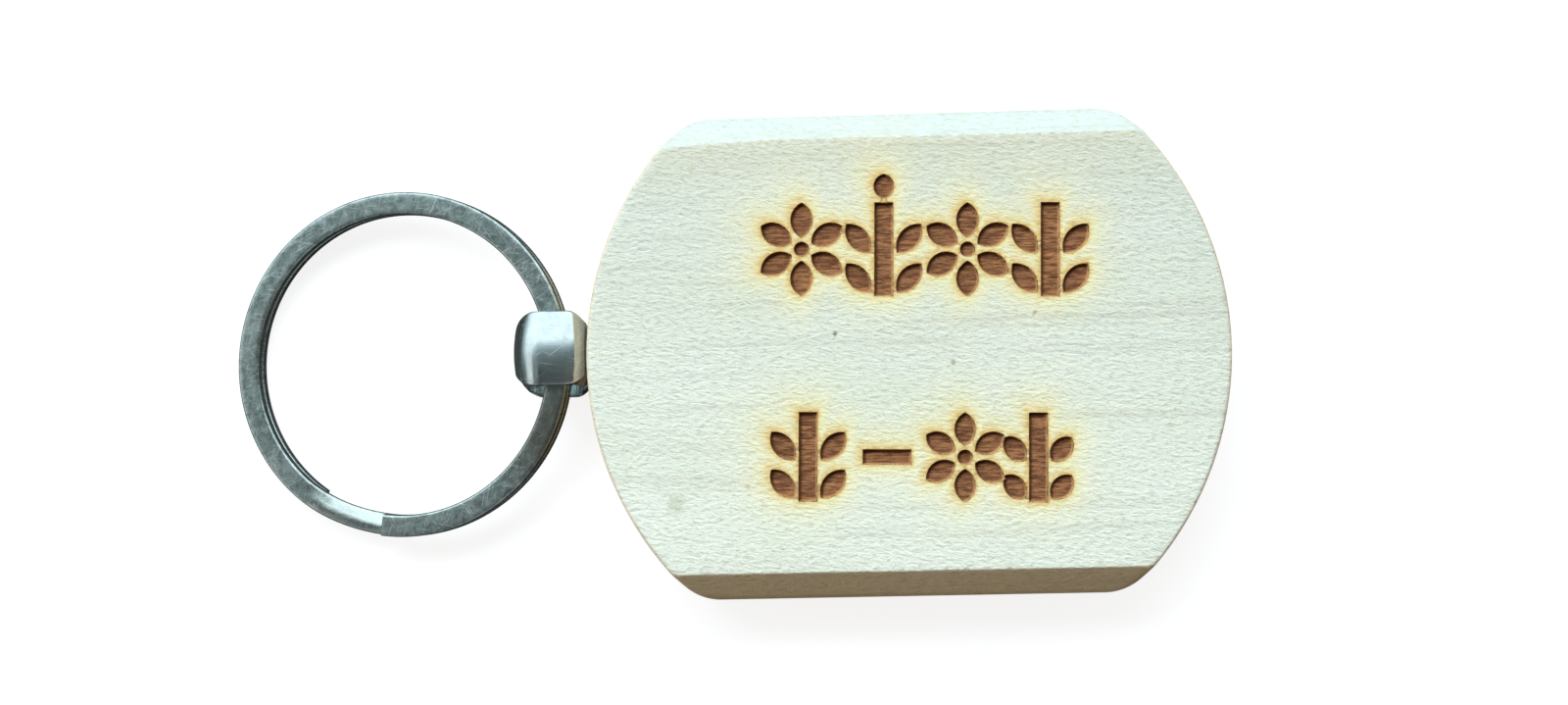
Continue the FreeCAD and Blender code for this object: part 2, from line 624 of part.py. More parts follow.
os.makedirs("parts", exist_ok=True)
for item in (wood_block, strap_loop, retaining_pin, adhesive_plug, split_ring):
    shape = item.Shape
    assert not shape.isNull() and shape.isValid(), f"{item.Label} is not a valid shape"
    assert len(shape.Solids) == 1, f"{item.Label} has {len(shape.Solids)} solids"
    print(item.Label, f"{shape.Volume:.2f} mm3", shape.BoundBox)
    shape.exportStep(os.path.join("parts", f"{item.Label}.step"))
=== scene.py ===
"""Looks of the wooden key-ring fob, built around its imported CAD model.

Shapes are worked out in millimetres in the CAD frame and scaled to metres as each mesh is made.
"""

import json
import math

import bmesh
import bpy
import numpy as np
from mathutils import Matrix, Vector, geometry, kdtree


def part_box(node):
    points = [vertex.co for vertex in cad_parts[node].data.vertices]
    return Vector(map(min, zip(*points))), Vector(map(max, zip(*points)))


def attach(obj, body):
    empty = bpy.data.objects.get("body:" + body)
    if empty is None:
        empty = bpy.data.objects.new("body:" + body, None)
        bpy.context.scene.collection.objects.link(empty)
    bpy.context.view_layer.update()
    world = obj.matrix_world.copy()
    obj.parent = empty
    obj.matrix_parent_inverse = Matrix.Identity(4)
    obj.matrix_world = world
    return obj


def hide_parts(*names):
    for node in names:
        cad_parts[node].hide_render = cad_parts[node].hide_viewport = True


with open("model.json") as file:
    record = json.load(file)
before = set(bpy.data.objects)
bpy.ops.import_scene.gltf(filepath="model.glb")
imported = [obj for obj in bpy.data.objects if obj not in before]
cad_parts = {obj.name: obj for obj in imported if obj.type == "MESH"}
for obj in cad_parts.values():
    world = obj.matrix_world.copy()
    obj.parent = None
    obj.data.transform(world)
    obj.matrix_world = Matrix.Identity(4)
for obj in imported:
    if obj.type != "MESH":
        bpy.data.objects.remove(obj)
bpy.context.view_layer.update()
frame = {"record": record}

MM = 0.001

# ---- sizes ----
# From the frame where it has them, and otherwise the CAD model's own, in millimetres.

wood_low, wood_high = (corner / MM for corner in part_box("wood_block"))
LENGTH, WIDTH, THICKNESS = wood_high - wood_low
END_RADIUS = 27.5
CORNER_RADIUS = 4.0
BEVEL_WIDTH = 2.3
BEVEL_DEPTH = 3.0
BEVEL_SOFTNESS = 0.12  # half-width of the rounding along a bevel's upper edge
BEVEL_FLARE = 0.85  # the upper bevel widens by this towards its left end
FLARE_START = 8.0  # the widening begins this far left of the middle
FLARE_RUN = LENGTH / 2 - 11.0  # and is complete after this
EDGE_ROUNDING = 0.4
HOLE_RADIUS = 2.6
HOLE_DEPTH = 9.5
HOLE_OFFSET = 0.7
HOLE_BREAK = 0.15  # small chamfer at the hole's mouth
ENGRAVING_DEPTH = 0.5
ENGRAVING_TURN = -1.4
WALL_RUN = 0.1  # the engraving's walls lean in by this
WALL_SHARE = 0.8  # share of that run over which a wall comes down to its depth
SCAN_PITCH = 0.23  # the burner's scan lines on the engraving's floor
SCAN_HEIGHT = 0.022
PIN_PLACE = (6.0 - LENGTH / 2, HOLE_OFFSET)
PIN_HEAD_RADIUS = 1.0
PIN_RECESS = 0.05
PIN_HEAD_THICKNESS = 0.4
COUNTERBORE_DEPTH = PIN_RECESS + PIN_HEAD_THICKNESS
COUNTERBORE_DRAFT = 0.03  # the counterbore is wider at its mouth by this

END_SHIFT = END_RADIUS - LENGTH / 2  # each end's arc is centred this far beyond the middle
CORNER_Y = WIDTH / 2 - CORNER_RADIUS
CORNER_X = math.sqrt((END_RADIUS - CORNER_RADIUS) ** 2 - CORNER_Y**2) - END_SHIFT
CORNER_START = math.degrees(math.atan2(CORNER_Y, CORNER_X + END_SHIFT))

# ---- mesh fineness ----

END_STEPS, CORNER_STEPS, SIDE_STEPS = 108, 12, 84  # along the outline's arcs and straight sides
ROUNDING_STEPS = 6
CREASE_ROWS = 5
LATHE_SIDES = 96
HOLE_SIDES = 72
COUNTERBORE_SIDES = 64
CONTOUR_STEP = 0.12  # along the burned contours
STATION_STEP = 0.12  # along the strap
COARSE_STEP = 0.9  # between loose points of the plain wood
FINE_STEP = 0.26  # the same where the scorching fades
BACK_STEP = 1.1
SHAKE = 0.2  # how far a loose point may leave its row, as a share of the step
SCORCH_REACH = 2.4  # the fine points end this far from the marks
RIM_CLEARANCE = 0.1  # from the sanded rounding to the nearest loose point
MARK_CLEARANCE = 0.07  # from a burned contour to the nearest loose point outside it
FOOT_CLEARANCE = 0.05  # from a wall's foot to the nearest loose point on the engraving's floor
SCAN_STEP = 0.34  # along a scan line
SCAN_SHAKE = 0.12
FLOOR_REACH, FADE_REACH = 16, 19  # half-sides of the squares that hold the marks and their scorching
SKIN_POINTS = 25  # across the strap's sheet
EDGE_POINTS = 5  # round its edges
WIRE_STEP = 0.3  # round the wire's section


# ---- mesh helpers ----


def new_piece(name, points, faces, sharp=35.0):
    """A smooth-shaded mesh object from points in millimetres."""
    mesh = bpy.data.meshes.new(name)
    mesh.from_pydata((np.asarray(points, float) * MM).tolist(), [], faces)
    shape = bmesh.new()
    shape.from_mesh(mesh)
    bmesh.ops.remove_doubles(shape, verts=shape.verts, dist=1e-7)
    stray = [vertex for vertex in shape.verts if not vertex.link_faces]
    bmesh.ops.delete(shape, geom=stray, context="VERTS")
    bmesh.ops.recalc_face_normals(shape, faces=shape.faces)
    shape.to_mesh(mesh)
    shape.free()
    mesh.shade_smooth()
    mesh.set_sharp_from_angle(angle=math.radians(sharp))
    piece = bpy.data.objects.new(name, mesh)
    bpy.context.scene.collection.objects.link(piece)
    return piece


def finish_piece(piece, material, body, node_name):
    piece.data.materials.append(material)
    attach(piece, body)
    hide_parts(node_name)


def arc(x, y, radius, start, end, count):
    """Points on an arc in degrees, without its last one."""
    angles = np.radians(np.linspace(start, end, count, endpoint=False))
    return np.stack([x + radius * np.cos(angles), y + radius * np.sin(angles)], axis=1)


def straight(start, end, count):
    """Points on a line, without its last one."""
    return np.linspace(start, end, count, endpoint=False)


def closed_edges(first, count):
    return [(first + i, first + (i + 1) % count) for i in range(count)]


def triangulate(loops, loose):
    """Constrained Delaunay triangles over closed loops and loose points: (points, triangles)."""
    coords = []
    edges = []
    for loop in loops:
        edges += closed_edges(len(coords), len(loop))
        coords += [Vector(p) for p in loop]
    coords += [Vector(p) for p in loose]
    result = geometry.delaunay_2d_cdt(coords, edges, [], 0, 1e-6)
    return np.array([tuple(v) for v in result[0]]), np.array([f for f in result[2] if len(f) == 3])


def tube_faces(rings, around, first=0):
    """Quads between successive closed rings of points."""
    faces = []
    for ring in range(rings - 1):
        for i in range(around):
            a = first + ring * around + i
            b = first + ring * around + (i + 1) % around
            faces.append((a, b, b + around, a + around))
    return faces


def closed_tube_faces(rings, around):
    """Faces of a tube that is closed at both its ends."""
    last = (rings - 1) * around
    ends = [tuple(range(around))[::-1], tuple(range(last, last + around))]
    return tube_faces(rings, around) + ends


def lathe(profile):
    """Points and faces of a profile of (radius, height) turned about Z. Zero radii close it."""
    angles = np.linspace(0, 2 * math.pi, LATHE_SIDES, endpoint=False)
    points = [
        (radius * math.cos(angle), radius * math.sin(angle), height)
        for radius, height in profile
        for angle in angles
    ]
    return np.array(points), tube_faces(len(profile), LATHE_SIDES)


def search_tree(places):
    """A tree that finds the nearest of some places and its index."""
    tree = kdtree.KDTree(len(places))
    for index, place in enumerate(places):
        tree.insert(place, index)
    tree.balance()
    return tree


# ---- wood block ----


def outline(inset=0.0):
    """The block's plan outline, anticlockwise, moved inward by inset."""
    start = CORNER_START
    side = WIDTH / 2 - inset
    end = END_RADIUS - inset
    corner = CORNER_RADIUS - inset
    return np.concatenate([
        arc(-END_SHIFT, 0, end, -start, start, END_STEPS),
        arc(CORNER_X, CORNER_Y, corner, start, 90, CORNER_STEPS),
        straight((CORNER_X, side), (-CORNER_X, side), SIDE_STEPS),
        arc(-CORNER_X, CORNER_Y, corner, 90, 180 - start, CORNER_STEPS),
        arc(END_SHIFT, 0, end, 180 - start, 180 + start, END_STEPS),
        arc(-CORNER_X, -CORNER_Y, corner, 180 + start, 270, CORNER_STEPS),
        straight((-CORNER_X, -side), (CORNER_X, -side), SIDE_STEPS),
        arc(CORNER_X, -CORNER_Y, corner, 270, 360 - start, CORNER_STEPS),
    ])


def inset_of(x, y):
    """How far inside the plan outline each point is."""
    ax, ay = np.abs(x), np.abs(y)
    sides = np.minimum(WIDTH / 2 - ay, END_RADIUS - np.hypot(ax + END_SHIFT, ay))
    corner = CORNER_RADIUS - np.hypot(ax - CORNER_X, ay - CORNER_Y)
    turn = np.degrees(np.arctan2(ay - CORNER_Y, ax - CORNER_X))
    return np.where((turn > CORNER_START) & (turn < 90), corner, sides)


def settled(inset):
    """Insets with the outline's own points put back at zero, because the rounding is steep there."""
    return np.where(inset < 1e-3, 0, inset)


def widening(x, y, flare):
    """How much wider than usual the bevel is beside each point; only the +Y one widens."""
    towards_left = np.clip((-x - FLARE_START) / FLARE_RUN, 0, 1)
    return np.where(y > 0, flare * towards_left**2, 0)


def bevel_drop(x, y, flare=0.0):
    """How far the bevels take the face down, with a softly rounded upper edge."""
    widened = widening(x, y, flare)
    beyond = np.abs(y) - (WIDTH / 2 - BEVEL_WIDTH - widened)
    soft = np.clip(beyond + BEVEL_SOFTNESS, 0, None) ** 2 / (4 * BEVEL_SOFTNESS)
    run = np.where(beyond > BEVEL_SOFTNESS, beyond, soft)
    return run * BEVEL_DEPTH / (BEVEL_WIDTH + widened)


def crease_rows(step, flare=0.0):
    """Rows of points along the bevels' upper edges, which carry their soft rounding."""
    x = np.arange(-LENGTH / 2, LENGTH / 2, step)
    rows = []
    for offset in np.linspace(-BEVEL_SOFTNESS, BEVEL_SOFTNESS, CREASE_ROWS):
        for side in (-1, 1):
            level = WIDTH / 2 - BEVEL_WIDTH - widening(x, side, flare) + offset
            rows.append(np.stack([x, side * level], axis=1))
    return rows


def rounding_drop(inset):
    """The sanded rounding along the outline."""
    left = np.clip(EDGE_ROUNDING - inset, 0, EDGE_ROUNDING)
    return EDGE_ROUNDING - np.sqrt(EDGE_ROUNDING**2 - left**2)


def grid(step_x, step_y, shake, rng, half_x=LENGTH / 2, half_y=WIDTH / 2):
    """Loose points over the face, shaken off their rows so that no pattern shows."""
    x, y = np.meshgrid(np.arange(-half_x, half_x, step_x), np.arange(-half_y, half_y, step_y))
    points = np.stack([x.ravel(), y.ravel()], axis=1)
    return points + rng.uniform(-shake, shake, points.shape) * (step_x, step_y)


# The ornament repeats the CAD model's: two rows of flowers and sprigs in a turned frame, the lower
# one with a dash. What is placed in a row is placed from the row's middle.

UPPER_ROW = np.array([1.12, 8.65])
LOWER_ROW = np.array([0.92, -8.73])
FLOWER_HEART = 0.65
PETAL_START = 0.95
PETALS = 6
STEM_WIDTH = 1.6
LEAF_WIDTH = 1.75
LEAF_GAP = 0.3
LEAF_RISE = math.radians(50)
LEAF_LEVELS = (0.04, 0.46)
DASH = (4.1, 1.3)


def leaf(base, tip, width):
    """Contour of a pointed leaf: two equal arcs from base to tip and back."""
    base, tip = np.array(base, float), np.array(tip, float)
    half = np.linalg.norm(tip - base) / 2
    along = (tip - base) / (2 * half)
    across = np.array([along[1], -along[0]])
    bulge = width / 2
    radius = (half**2 + bulge**2) / (2 * bulge)
    spread = math.asin(half / radius)
    count = max(6, round(2 * spread * radius / CONTOUR_STEP))
    angles = np.linspace(-spread, spread, count, endpoint=False)
    places = radius * np.sin(angles)[:, None] * along
    heights = (radius * np.cos(angles) - (radius - bulge))[:, None] * across
    middle = (base + tip) / 2
    return np.concatenate([middle + places + heights, middle - places - heights])


def dot(centre, radius):
    return arc(*centre, radius, 0, 360, round(2 * math.pi * radius / CONTOUR_STEP))


def bar(centre, width, height):
    x, y = centre
    corners = [(x + i * width / 2, y + j * height / 2) for i, j in ((-1, -1), (1, -1), (1, 1), (-1, 1))]
    sides = zip(corners, corners[1:] + corners[:1], (width, height, width, height))
    return np.concatenate([straight(a, b, round(run / CONTOUR_STEP)) for a, b, run in sides])


def flower(centre, radius, petal_width):
    """Petals round a dot."""
    contours = [dot(centre, FLOWER_HEART)]
    for petal in range(PETALS):
        angle = math.radians(90 + 360 / PETALS * petal)
        ray = np.array([math.cos(angle), math.sin(angle)])
        contours.append(leaf(centre + PETAL_START * ray, centre + radius * ray, petal_width))
    return contours


def sprig(centre, height, leaf_length, crest=0.0):
    """A stem with two pairs of leaves, and a crest leaf above it where crest is its length."""
    x, y = centre
    contours = [bar(centre, STEM_WIDTH, height)]
    for level in LEAF_LEVELS:
        for side in (-1, 1):
            base = np.array([x + side * (STEM_WIDTH / 2 + LEAF_GAP), y - height / 2 + level * height])
            reach = np.array([side * math.cos(LEAF_RISE), math.sin(LEAF_RISE)]) * leaf_length
            contours.append(leaf(base, base + reach, LEAF_WIDTH))
    if crest:
        foot = np.array([x, y + height / 2 + LEAF_GAP])
        contours.append(leaf(foot, foot + (0, crest), LEAF_WIDTH))
    return contours


def ornament():
    """Closed contours of everything that is burned into the face."""
    contours = flower(UPPER_ROW + (-10.0, 0), 3.95, 1.9) + flower(UPPER_ROW + (3.9, 0), 3.95, 1.9)
    contours += sprig(UPPER_ROW + (-3.1, 0), 7.9, 3.2, crest=2.1) + sprig(UPPER_ROW + (10.8, 0), 7.9, 3.2)
    contours += sprig(LOWER_ROW + (-9.2, 0), 7.5, 3.1) + sprig(LOWER_ROW + (10.0, 0), 7.5, 2.6)
    contours += flower(LOWER_ROW + (3.9, 0), 3.75, 1.8) + [bar(LOWER_ROW + (-2.6, 0), *DASH)]
    turn = math.radians(ENGRAVING_TURN)
    spin = np.array([[math.cos(turn), -math.sin(turn)], [math.sin(turn), math.cos(turn)]])
    return [contour @ spin.T for contour in contours]


def inside(points, contour):
    """Whether each point is inside a closed contour, by counting crossings."""
    x, y = points[:, 0], points[:, 1]
    crossings = np.zeros(len(points), bool)
    near = np.all((points > contour.min(0)) & (points < contour.max(0)), axis=1)
    following = np.roll(contour, -1, axis=0)
    for (x0, y0), (x1, y1) in zip(contour, following):
        if y0 != y1:
            spans = ((y0 > y[near]) != (y1 > y[near]))
            crossings[near] ^= spans & (x[near] < x0 + (y[near] - y0) * (x1 - x0) / (y1 - y0))
    return crossings


class Marks:
    """Signed distance to the burned ornament, negative inside it, and the way away from it."""

    FINE = 4  # points of the searched rim to each point of a contour

    def __init__(self, contours):
        self.contours = contours
        shares = np.linspace(0, 1, self.FINE, endpoint=False)[:, None, None]
        fine = [((1 - shares) * c + shares * np.roll(c, -1, axis=0)).reshape(-1, 2) for c in contours]
        self.rim = np.concatenate(fine)
        self.tree = search_tree([(x, y, 0) for x, y in self.rim])

    def measure(self, points):
        found = [self.tree.find((x, y, 0)) for x, y in points]
        distance = np.array([item[2] for item in found])
        away = points - self.rim[[item[1] for item in found]]
        away /= np.maximum(np.linalg.norm(away, axis=1), 1e-9)[:, None]
        within = np.zeros(len(points), bool)
        for contour in self.contours:
            within |= inside(points, contour)
        return np.where(within, -distance, distance), away


def floor_points(marks, rng):
    """Points on the engraving's floor: a row at the foot of each wall, and rows along its scan lines."""
    feet = []
    for contour in marks.contours:
        ahead, behind = np.roll(contour, -1, axis=0), np.roll(contour, 1, axis=0)
        along = ahead - behind
        inward = np.stack([-along[:, 1], along[:, 0]], axis=1)
        inward /= np.maximum(np.linalg.norm(inward, axis=1), 1e-9)[:, None]
        turned = np.sum(contour[:, 0] * ahead[:, 1] - ahead[:, 0] * contour[:, 1])
        feet.append(contour + inward * WALL_RUN * np.sign(turned))
    feet = np.concatenate(feet)
    distance, _ = marks.measure(feet)
    feet = feet[distance < -0.85 * WALL_RUN]  # none where two walls come close to each other
    rows = grid(SCAN_STEP, SCAN_PITCH / 4, SCAN_SHAKE, rng, FLOOR_REACH, FLOOR_REACH)
    distance, _ = marks.measure(rows)
    return np.concatenate([feet, rows[distance < -WALL_RUN - FOOT_CLEARANCE]])


def face_points(marks, rng):
    """Loose points of the engraved face, denser round the ornament where the scorching fades."""
    coarse = grid(COARSE_STEP, COARSE_STEP, SHAKE, rng)
    distance, _ = marks.measure(coarse)
    coarse = coarse[distance > SCORCH_REACH]
    close = grid(FINE_STEP, FINE_STEP, SHAKE, rng, FADE_REACH, FADE_REACH)
    distance, _ = marks.measure(close)
    close = close[(distance > MARK_CLEARANCE) & (distance <= SCORCH_REACH)]
    points = np.concatenate([coarse, close, *crease_rows(0.6, BEVEL_FLARE)])
    return points[inset_of(*points.T) > EDGE_ROUNDING + RIM_CLEARANCE]


def rim_loops():
    """The outline and the rows of points that carry the sanded rounding."""
    angles = np.linspace(0, math.pi / 2, ROUNDING_STEPS)
    return [outline(EDGE_ROUNDING * (1 - math.cos(angle))) for angle in angles]


def engraved_face(marks, rng):
    """Upper surface: (points, triangles, distance to the marks, way from the marks)."""
    loose = np.concatenate([face_points(marks, rng), floor_points(marks, rng)])
    flat, triangles = triangulate(rim_loops() + marks.contours, loose)
    x, y = flat.T
    inset = settled(inset_of(x, y))
    distance, away = marks.measure(flat)
    on_rim = np.abs(distance) < 1e-4
    share = np.where(on_rim, 0, np.clip(-distance / (WALL_SHARE * WALL_RUN), 0, 1))
    level = y * math.cos(math.radians(ENGRAVING_TURN)) - x * math.sin(math.radians(ENGRAVING_TURN))
    scan = np.sin(2 * math.pi * level / SCAN_PITCH) * np.clip(-distance / WALL_RUN - 1, 0, 1)
    wander = 0.03 * np.sin(1.7 * x + 0.9 * y) + 0.02 * np.sin(3.1 * x - 2.3 * y)
    sunk = share * (ENGRAVING_DEPTH + wander) + SCAN_HEIGHT * scan
    z = THICKNESS - bevel_drop(x, y, BEVEL_FLARE) - rounding_drop(inset) - sunk
    return np.column_stack([flat, z]), triangles, distance, away


def back_face(rng):
    """Lower surface with the pin's counterbore: (points, triangles)."""
    centre = np.array(PIN_PLACE)
    mouth = arc(*centre, PIN_HEAD_RADIUS + COUNTERBORE_DRAFT, 0, 360, COUNTERBORE_SIDES)
    foot = arc(*centre, PIN_HEAD_RADIUS, 0, 360, COUNTERBORE_SIDES)
    loose = grid(BACK_STEP, BACK_STEP, SHAKE, rng)
    loose = loose[np.linalg.norm(loose - centre, axis=1) > PIN_HEAD_RADIUS + 0.4]
    loose = np.concatenate([loose, *crease_rows(0.8)])
    loose = loose[inset_of(*loose.T) > EDGE_ROUNDING + RIM_CLEARANCE]
    flat, triangles = triangulate(rim_loops() + [mouth, foot], loose)
    x, y = flat.T
    sunk = np.hypot(x - centre[0], y - centre[1]) < PIN_HEAD_RADIUS + 0.01
    inset = settled(inset_of(x, y))
    z = bevel_drop(x, y) + rounding_drop(inset) + np.where(sunk, COUNTERBORE_DEPTH, 0)
    return np.column_stack([flat, z]), triangles


def side_wall():
    """The wall round the block with the strap's hole in its left end, and the hole itself."""
    rim = outline()
    rim = np.concatenate([rim, rim[:1]])
    x, y = rim.T
    run = np.concatenate([[0], np.cumsum(np.hypot(np.diff(x), np.diff(y)))])
    top = THICKNESS - bevel_drop(x, y, BEVEL_FLARE) - EDGE_ROUNDING
    bottom = bevel_drop(x, y) + EDGE_ROUNDING
    middle = run[np.argmin(x)]  # the left end's tip

    around = np.linspace(0, 2 * math.pi, HOLE_SIDES, endpoint=False)
    mouth_radius = HOLE_RADIUS + HOLE_BREAK

    # the hole's mouth and the wall are laid out flat, by distance along the wall and height
    across = HOLE_OFFSET + mouth_radius * np.cos(around)
    along = middle - END_RADIUS * np.arcsin(across / END_RADIUS)
    mouth = np.stack([along, THICKNESS / 2 + mouth_radius * np.sin(around)], axis=1)
    boundary = np.concatenate([np.stack([run, bottom], 1), np.stack([run, top], 1)[::-1]])
    shares = np.linspace(0, 1, 9)[1:-1]
    levels = [np.stack([run, bottom + share * (top - bottom)], 1)[1:-1] for share in shares]
    loose = np.concatenate(levels)
    beside = np.hypot(loose[:, 0] - mouth[:, 0].mean(), loose[:, 1] - THICKNESS / 2)
    loose = loose[beside > mouth_radius + 0.15]
    flat, triangles = triangulate([boundary, mouth], loose)
    centres = flat[triangles].mean(axis=1)
    heights = (np.interp(centres[:, 0], run, bottom), np.interp(centres[:, 0], run, top))
    keep = (centres[:, 1] > heights[0]) & (centres[:, 1] < heights[1]) & ~inside(centres, mouth)

    def wrapped(unrolled):
        """Places in space from distance along the wall and height."""
        along, height = unrolled.T
        return np.column_stack([np.interp(along, run, x), np.interp(along, run, y), height])

    def ring(radius, depth):
        """A circle inside the hole."""
        across = HOLE_OFFSET + radius * np.cos(around)
        place = np.full_like(across, depth - LENGTH / 2)
        return np.stack([place, across, THICKNESS / 2 + radius * np.sin(around)], axis=1)

    points = wrapped(flat)
    rings = [wrapped(mouth), ring(HOLE_RADIUS, 2 * HOLE_BREAK)]
    rings += [ring(HOLE_RADIUS, depth) for depth in np.linspace(1.2, HOLE_DEPTH, 6)]
    rings.append(ring(0.0, HOLE_DEPTH))
    first = len(points)
    faces = [tuple(face) for face in triangles[keep].tolist()]
    faces += tube_faces(len(rings), HOLE_SIDES, first)
    return np.concatenate([points, *rings]), faces


def make_wood_block(material):
    rng = np.random.default_rng(7)
    marks = Marks(ornament())
    face, face_triangles, distance, away = engraved_face(marks, rng)
    back, back_triangles = back_face(rng)
    wall, wall_faces = side_wall()
    points = np.concatenate([face, back, wall])
    faces = face_triangles.tolist()
    faces += (back_triangles[:, ::-1] + len(face)).tolist()
    faces += [tuple(index + len(face) + len(back) for index in item) for item in wall_faces]
    piece = new_piece("fob_block", points, faces)

    # the merged mesh has its own order of points, so the attributes are looked up by place
    tree = search_tree(face)
    scorch = piece.data.attributes.new("scorch", "FLOAT", "POINT")
    side = piece.data.attributes.new("scorch_side", "FLOAT_VECTOR", "POINT")
    clean = 9.0  # far from any mark
    for index, vertex in enumerate(piece.data.vertices):
        _, found, gap = tree.find(vertex.co / MM)
        on_face = gap < 1e-3
        scorch.data[index].value = distance[found] if on_face else clean
        side.data[index].vector = (*away[found], 0) if on_face else (0, 0, 0)
    finish_piece(piece, material, "fob", "wood_block")


# ---- strap loop ----
# Its own frame: the origin is on the hole's axis at the block's end, +X runs into the hole.

SHEET = 0.6
STRAP_WIDTH = 6.4
LEG_WIDTH = 4.0
STRAP_REACH = 6.65
STRAP_HEIGHT = 7.8
LEG_DEPTH = 8.8
LEG_LEVEL = 1.2
BEND_RADIUS = 2.4
SHOULDER_RADIUS = 1.4
NECK_RADIUS = 0.45
NECK_X = -0.05
CROWN_RADIUS = 12.0
NOSE_CORNER = 2.0
SHOULDER_CORNER = 1.6
NECK_REACH = 0.3
STRAP_TWIST = -8.0
STRAP_EDGE = 0.16  # tumbled rounding of the strap's edges


def strap_stations():
    """Mid-line points and headings in degrees in the XZ plane, from one leg's end to the other's."""
    top = (STRAP_HEIGHT - SHEET) / 2
    apex = SHEET / 2 - STRAP_REACH
    wall_x = NECK_X - NECK_RADIUS
    half = [
        (LEG_DEPTH - NECK_X, 0, 0),
        (0, NECK_RADIUS, -90),
        (top - SHOULDER_RADIUS - LEG_LEVEL - NECK_RADIUS, 0, 0),
        (0, SHOULDER_RADIUS, 90),
        (wall_x - SHOULDER_RADIUS - apex - BEND_RADIUS, 0, 0),
        (0, BEND_RADIUS, 90),
    ]
    moves = half + [(2 * (top - BEND_RADIUS), 0, 0)] + half[::-1]
    place = np.array([LEG_DEPTH, LEG_LEVEL])
    heading = 180.0
    stations = [(*place, heading)]
    for length, radius, turn in moves:
        run = length or radius * math.radians(abs(turn))
        count = max(2, round(run / STATION_STEP))
        half_step = turn / count / 2
        chord = run / count if not turn else 2 * radius * math.sin(math.radians(abs(half_step)))
        for _ in range(count):
            heading += half_step
            way = math.radians(heading)
            place = place + chord * np.array([math.cos(way), math.sin(way)])
            heading += half_step
            stations.append((*place, heading))
    return stations


def strap_half_width(x):
    """The strap's plan outline: narrow legs, round shoulders, full width, round nose."""
    half, leg = STRAP_WIDTH / 2, LEG_WIDTH / 2
    turn = math.acos(1 - (half - leg) / SHOULDER_CORNER)
    shoulder_x = -NECK_REACH - SHOULDER_CORNER * math.sin(turn)
    nose_x = NOSE_CORNER - STRAP_REACH
    if x > -NECK_REACH:
        return leg
    if x > shoulder_x:
        return half - SHOULDER_CORNER + math.sqrt(SHOULDER_CORNER**2 - (x - shoulder_x) ** 2)
    if x > nose_x:
        return half
    return half - NOSE_CORNER + math.sqrt(max(NOSE_CORNER**2 - (x - nose_x) ** 2, 0))


def strap_section(x, heading):
    """Closed section at a station: (across, above the mid-line), outer skin first."""
    normal_x = math.cos(math.radians(heading - 90))
    skins = []
    for outer in (True, False):
        radius = CROWN_RADIUS if outer else CROWN_RADIUS - SHEET
        centre = SHEET / 2 - CROWN_RADIUS

        def height(across):
            return math.sqrt(radius**2 - across**2) + centre

        half = STRAP_WIDTH / 2
        for _ in range(8):  # the width and the crown's height settle together
            half = strap_half_width(x + normal_x * height(half))
        flat = half - STRAP_EDGE
        skin = [(across, height(across)) for across in np.linspace(-flat, flat, SKIN_POINTS)]
        ends = []
        for angle in np.linspace(0, 90, EDGE_POINTS)[1:-1]:
            across = flat + STRAP_EDGE * math.sin(math.radians(angle))
            inward = STRAP_EDGE * (1 - math.cos(math.radians(angle)))
            ends.append((across, height(across) - inward if outer else height(across) + inward))
        skin = [(-a, h) for a, h in reversed(ends)] + skin + ends
        skins.append(skin if outer else skin[::-1])
    return skins[0] + skins[1]


def make_strap_loop(material):
    points = []
    stations = strap_stations()
    for x, z, heading in stations:
        normal = (math.cos(math.radians(heading - 90)), math.sin(math.radians(heading - 90)))
        for across, above in strap_section(x, heading):
            points.append((x + normal[0] * above, across, z + normal[1] * above))
    around = len(points) // len(stations)
    faces = closed_tube_faces(len(stations), around)
    twist = np.array(Matrix.Rotation(math.radians(STRAP_TWIST), 3, "X"))
    points = np.array(points) @ twist.T + (-LENGTH / 2, HOLE_OFFSET, THICKNESS / 2)
    piece = new_piece("strap_eye", points, faces, sharp=50)
    finish_piece(piece, material, "fob", "strap_loop")


# ---- split ring ----

RING_RADIUS = 15.0
WIRE_WIDTH = 1.9
COIL_THICKNESS = 1.0
COIL_PITCH = 1.06
SPLIT_ANGLE = 262.0
RAMP_ANGLE = 26.0
RAMP_LEAN = 0.42  # slope that the crank leaves on either side of a ridge along the ramp's face
RAMP_RIDGE = 0.3  # that ridge, outward from the wire's middle
RIDGE_ROUNDING = 0.1
CRANK_PLACES = (-0.25, 0.2, 1.0, 1.15)  # shares of the ramp between which the crank comes and goes
WIRE_EDGE = 0.24  # rounding of the wire's edges
CUT_RUN = 0.12  # degrees over which a cut end narrows
CUT_SCALE = (0.93, 0.91)  # across and up, what is left of the section there


def wire_section():
    """Rounded rectangle: (outward from the wire's middle, up from it)."""
    half_width, half_height = WIRE_WIDTH / 2 - WIRE_EDGE, COIL_THICKNESS / 2 - WIRE_EDGE
    corners = ((1, 1, 0), (-1, 1, 90), (-1, -1, 180), (1, -1, 270))
    parts = []
    for i, j, start in corners:
        parts.append(arc(i * half_width, j * half_height, WIRE_EDGE, start, start + 90, 5))
        parts.append(arc(i * half_width, j * half_height, WIRE_EDGE, start + 90, start + 91, 1))
    corners = np.concatenate(parts)
    filled = []
    for here, ahead in zip(corners, np.roll(corners, -1, axis=0)):
        pieces = max(1, round(np.linalg.norm(ahead - here) / WIRE_STEP))
        filled.append(straight(here, ahead, pieces))
    return np.concatenate(filled)


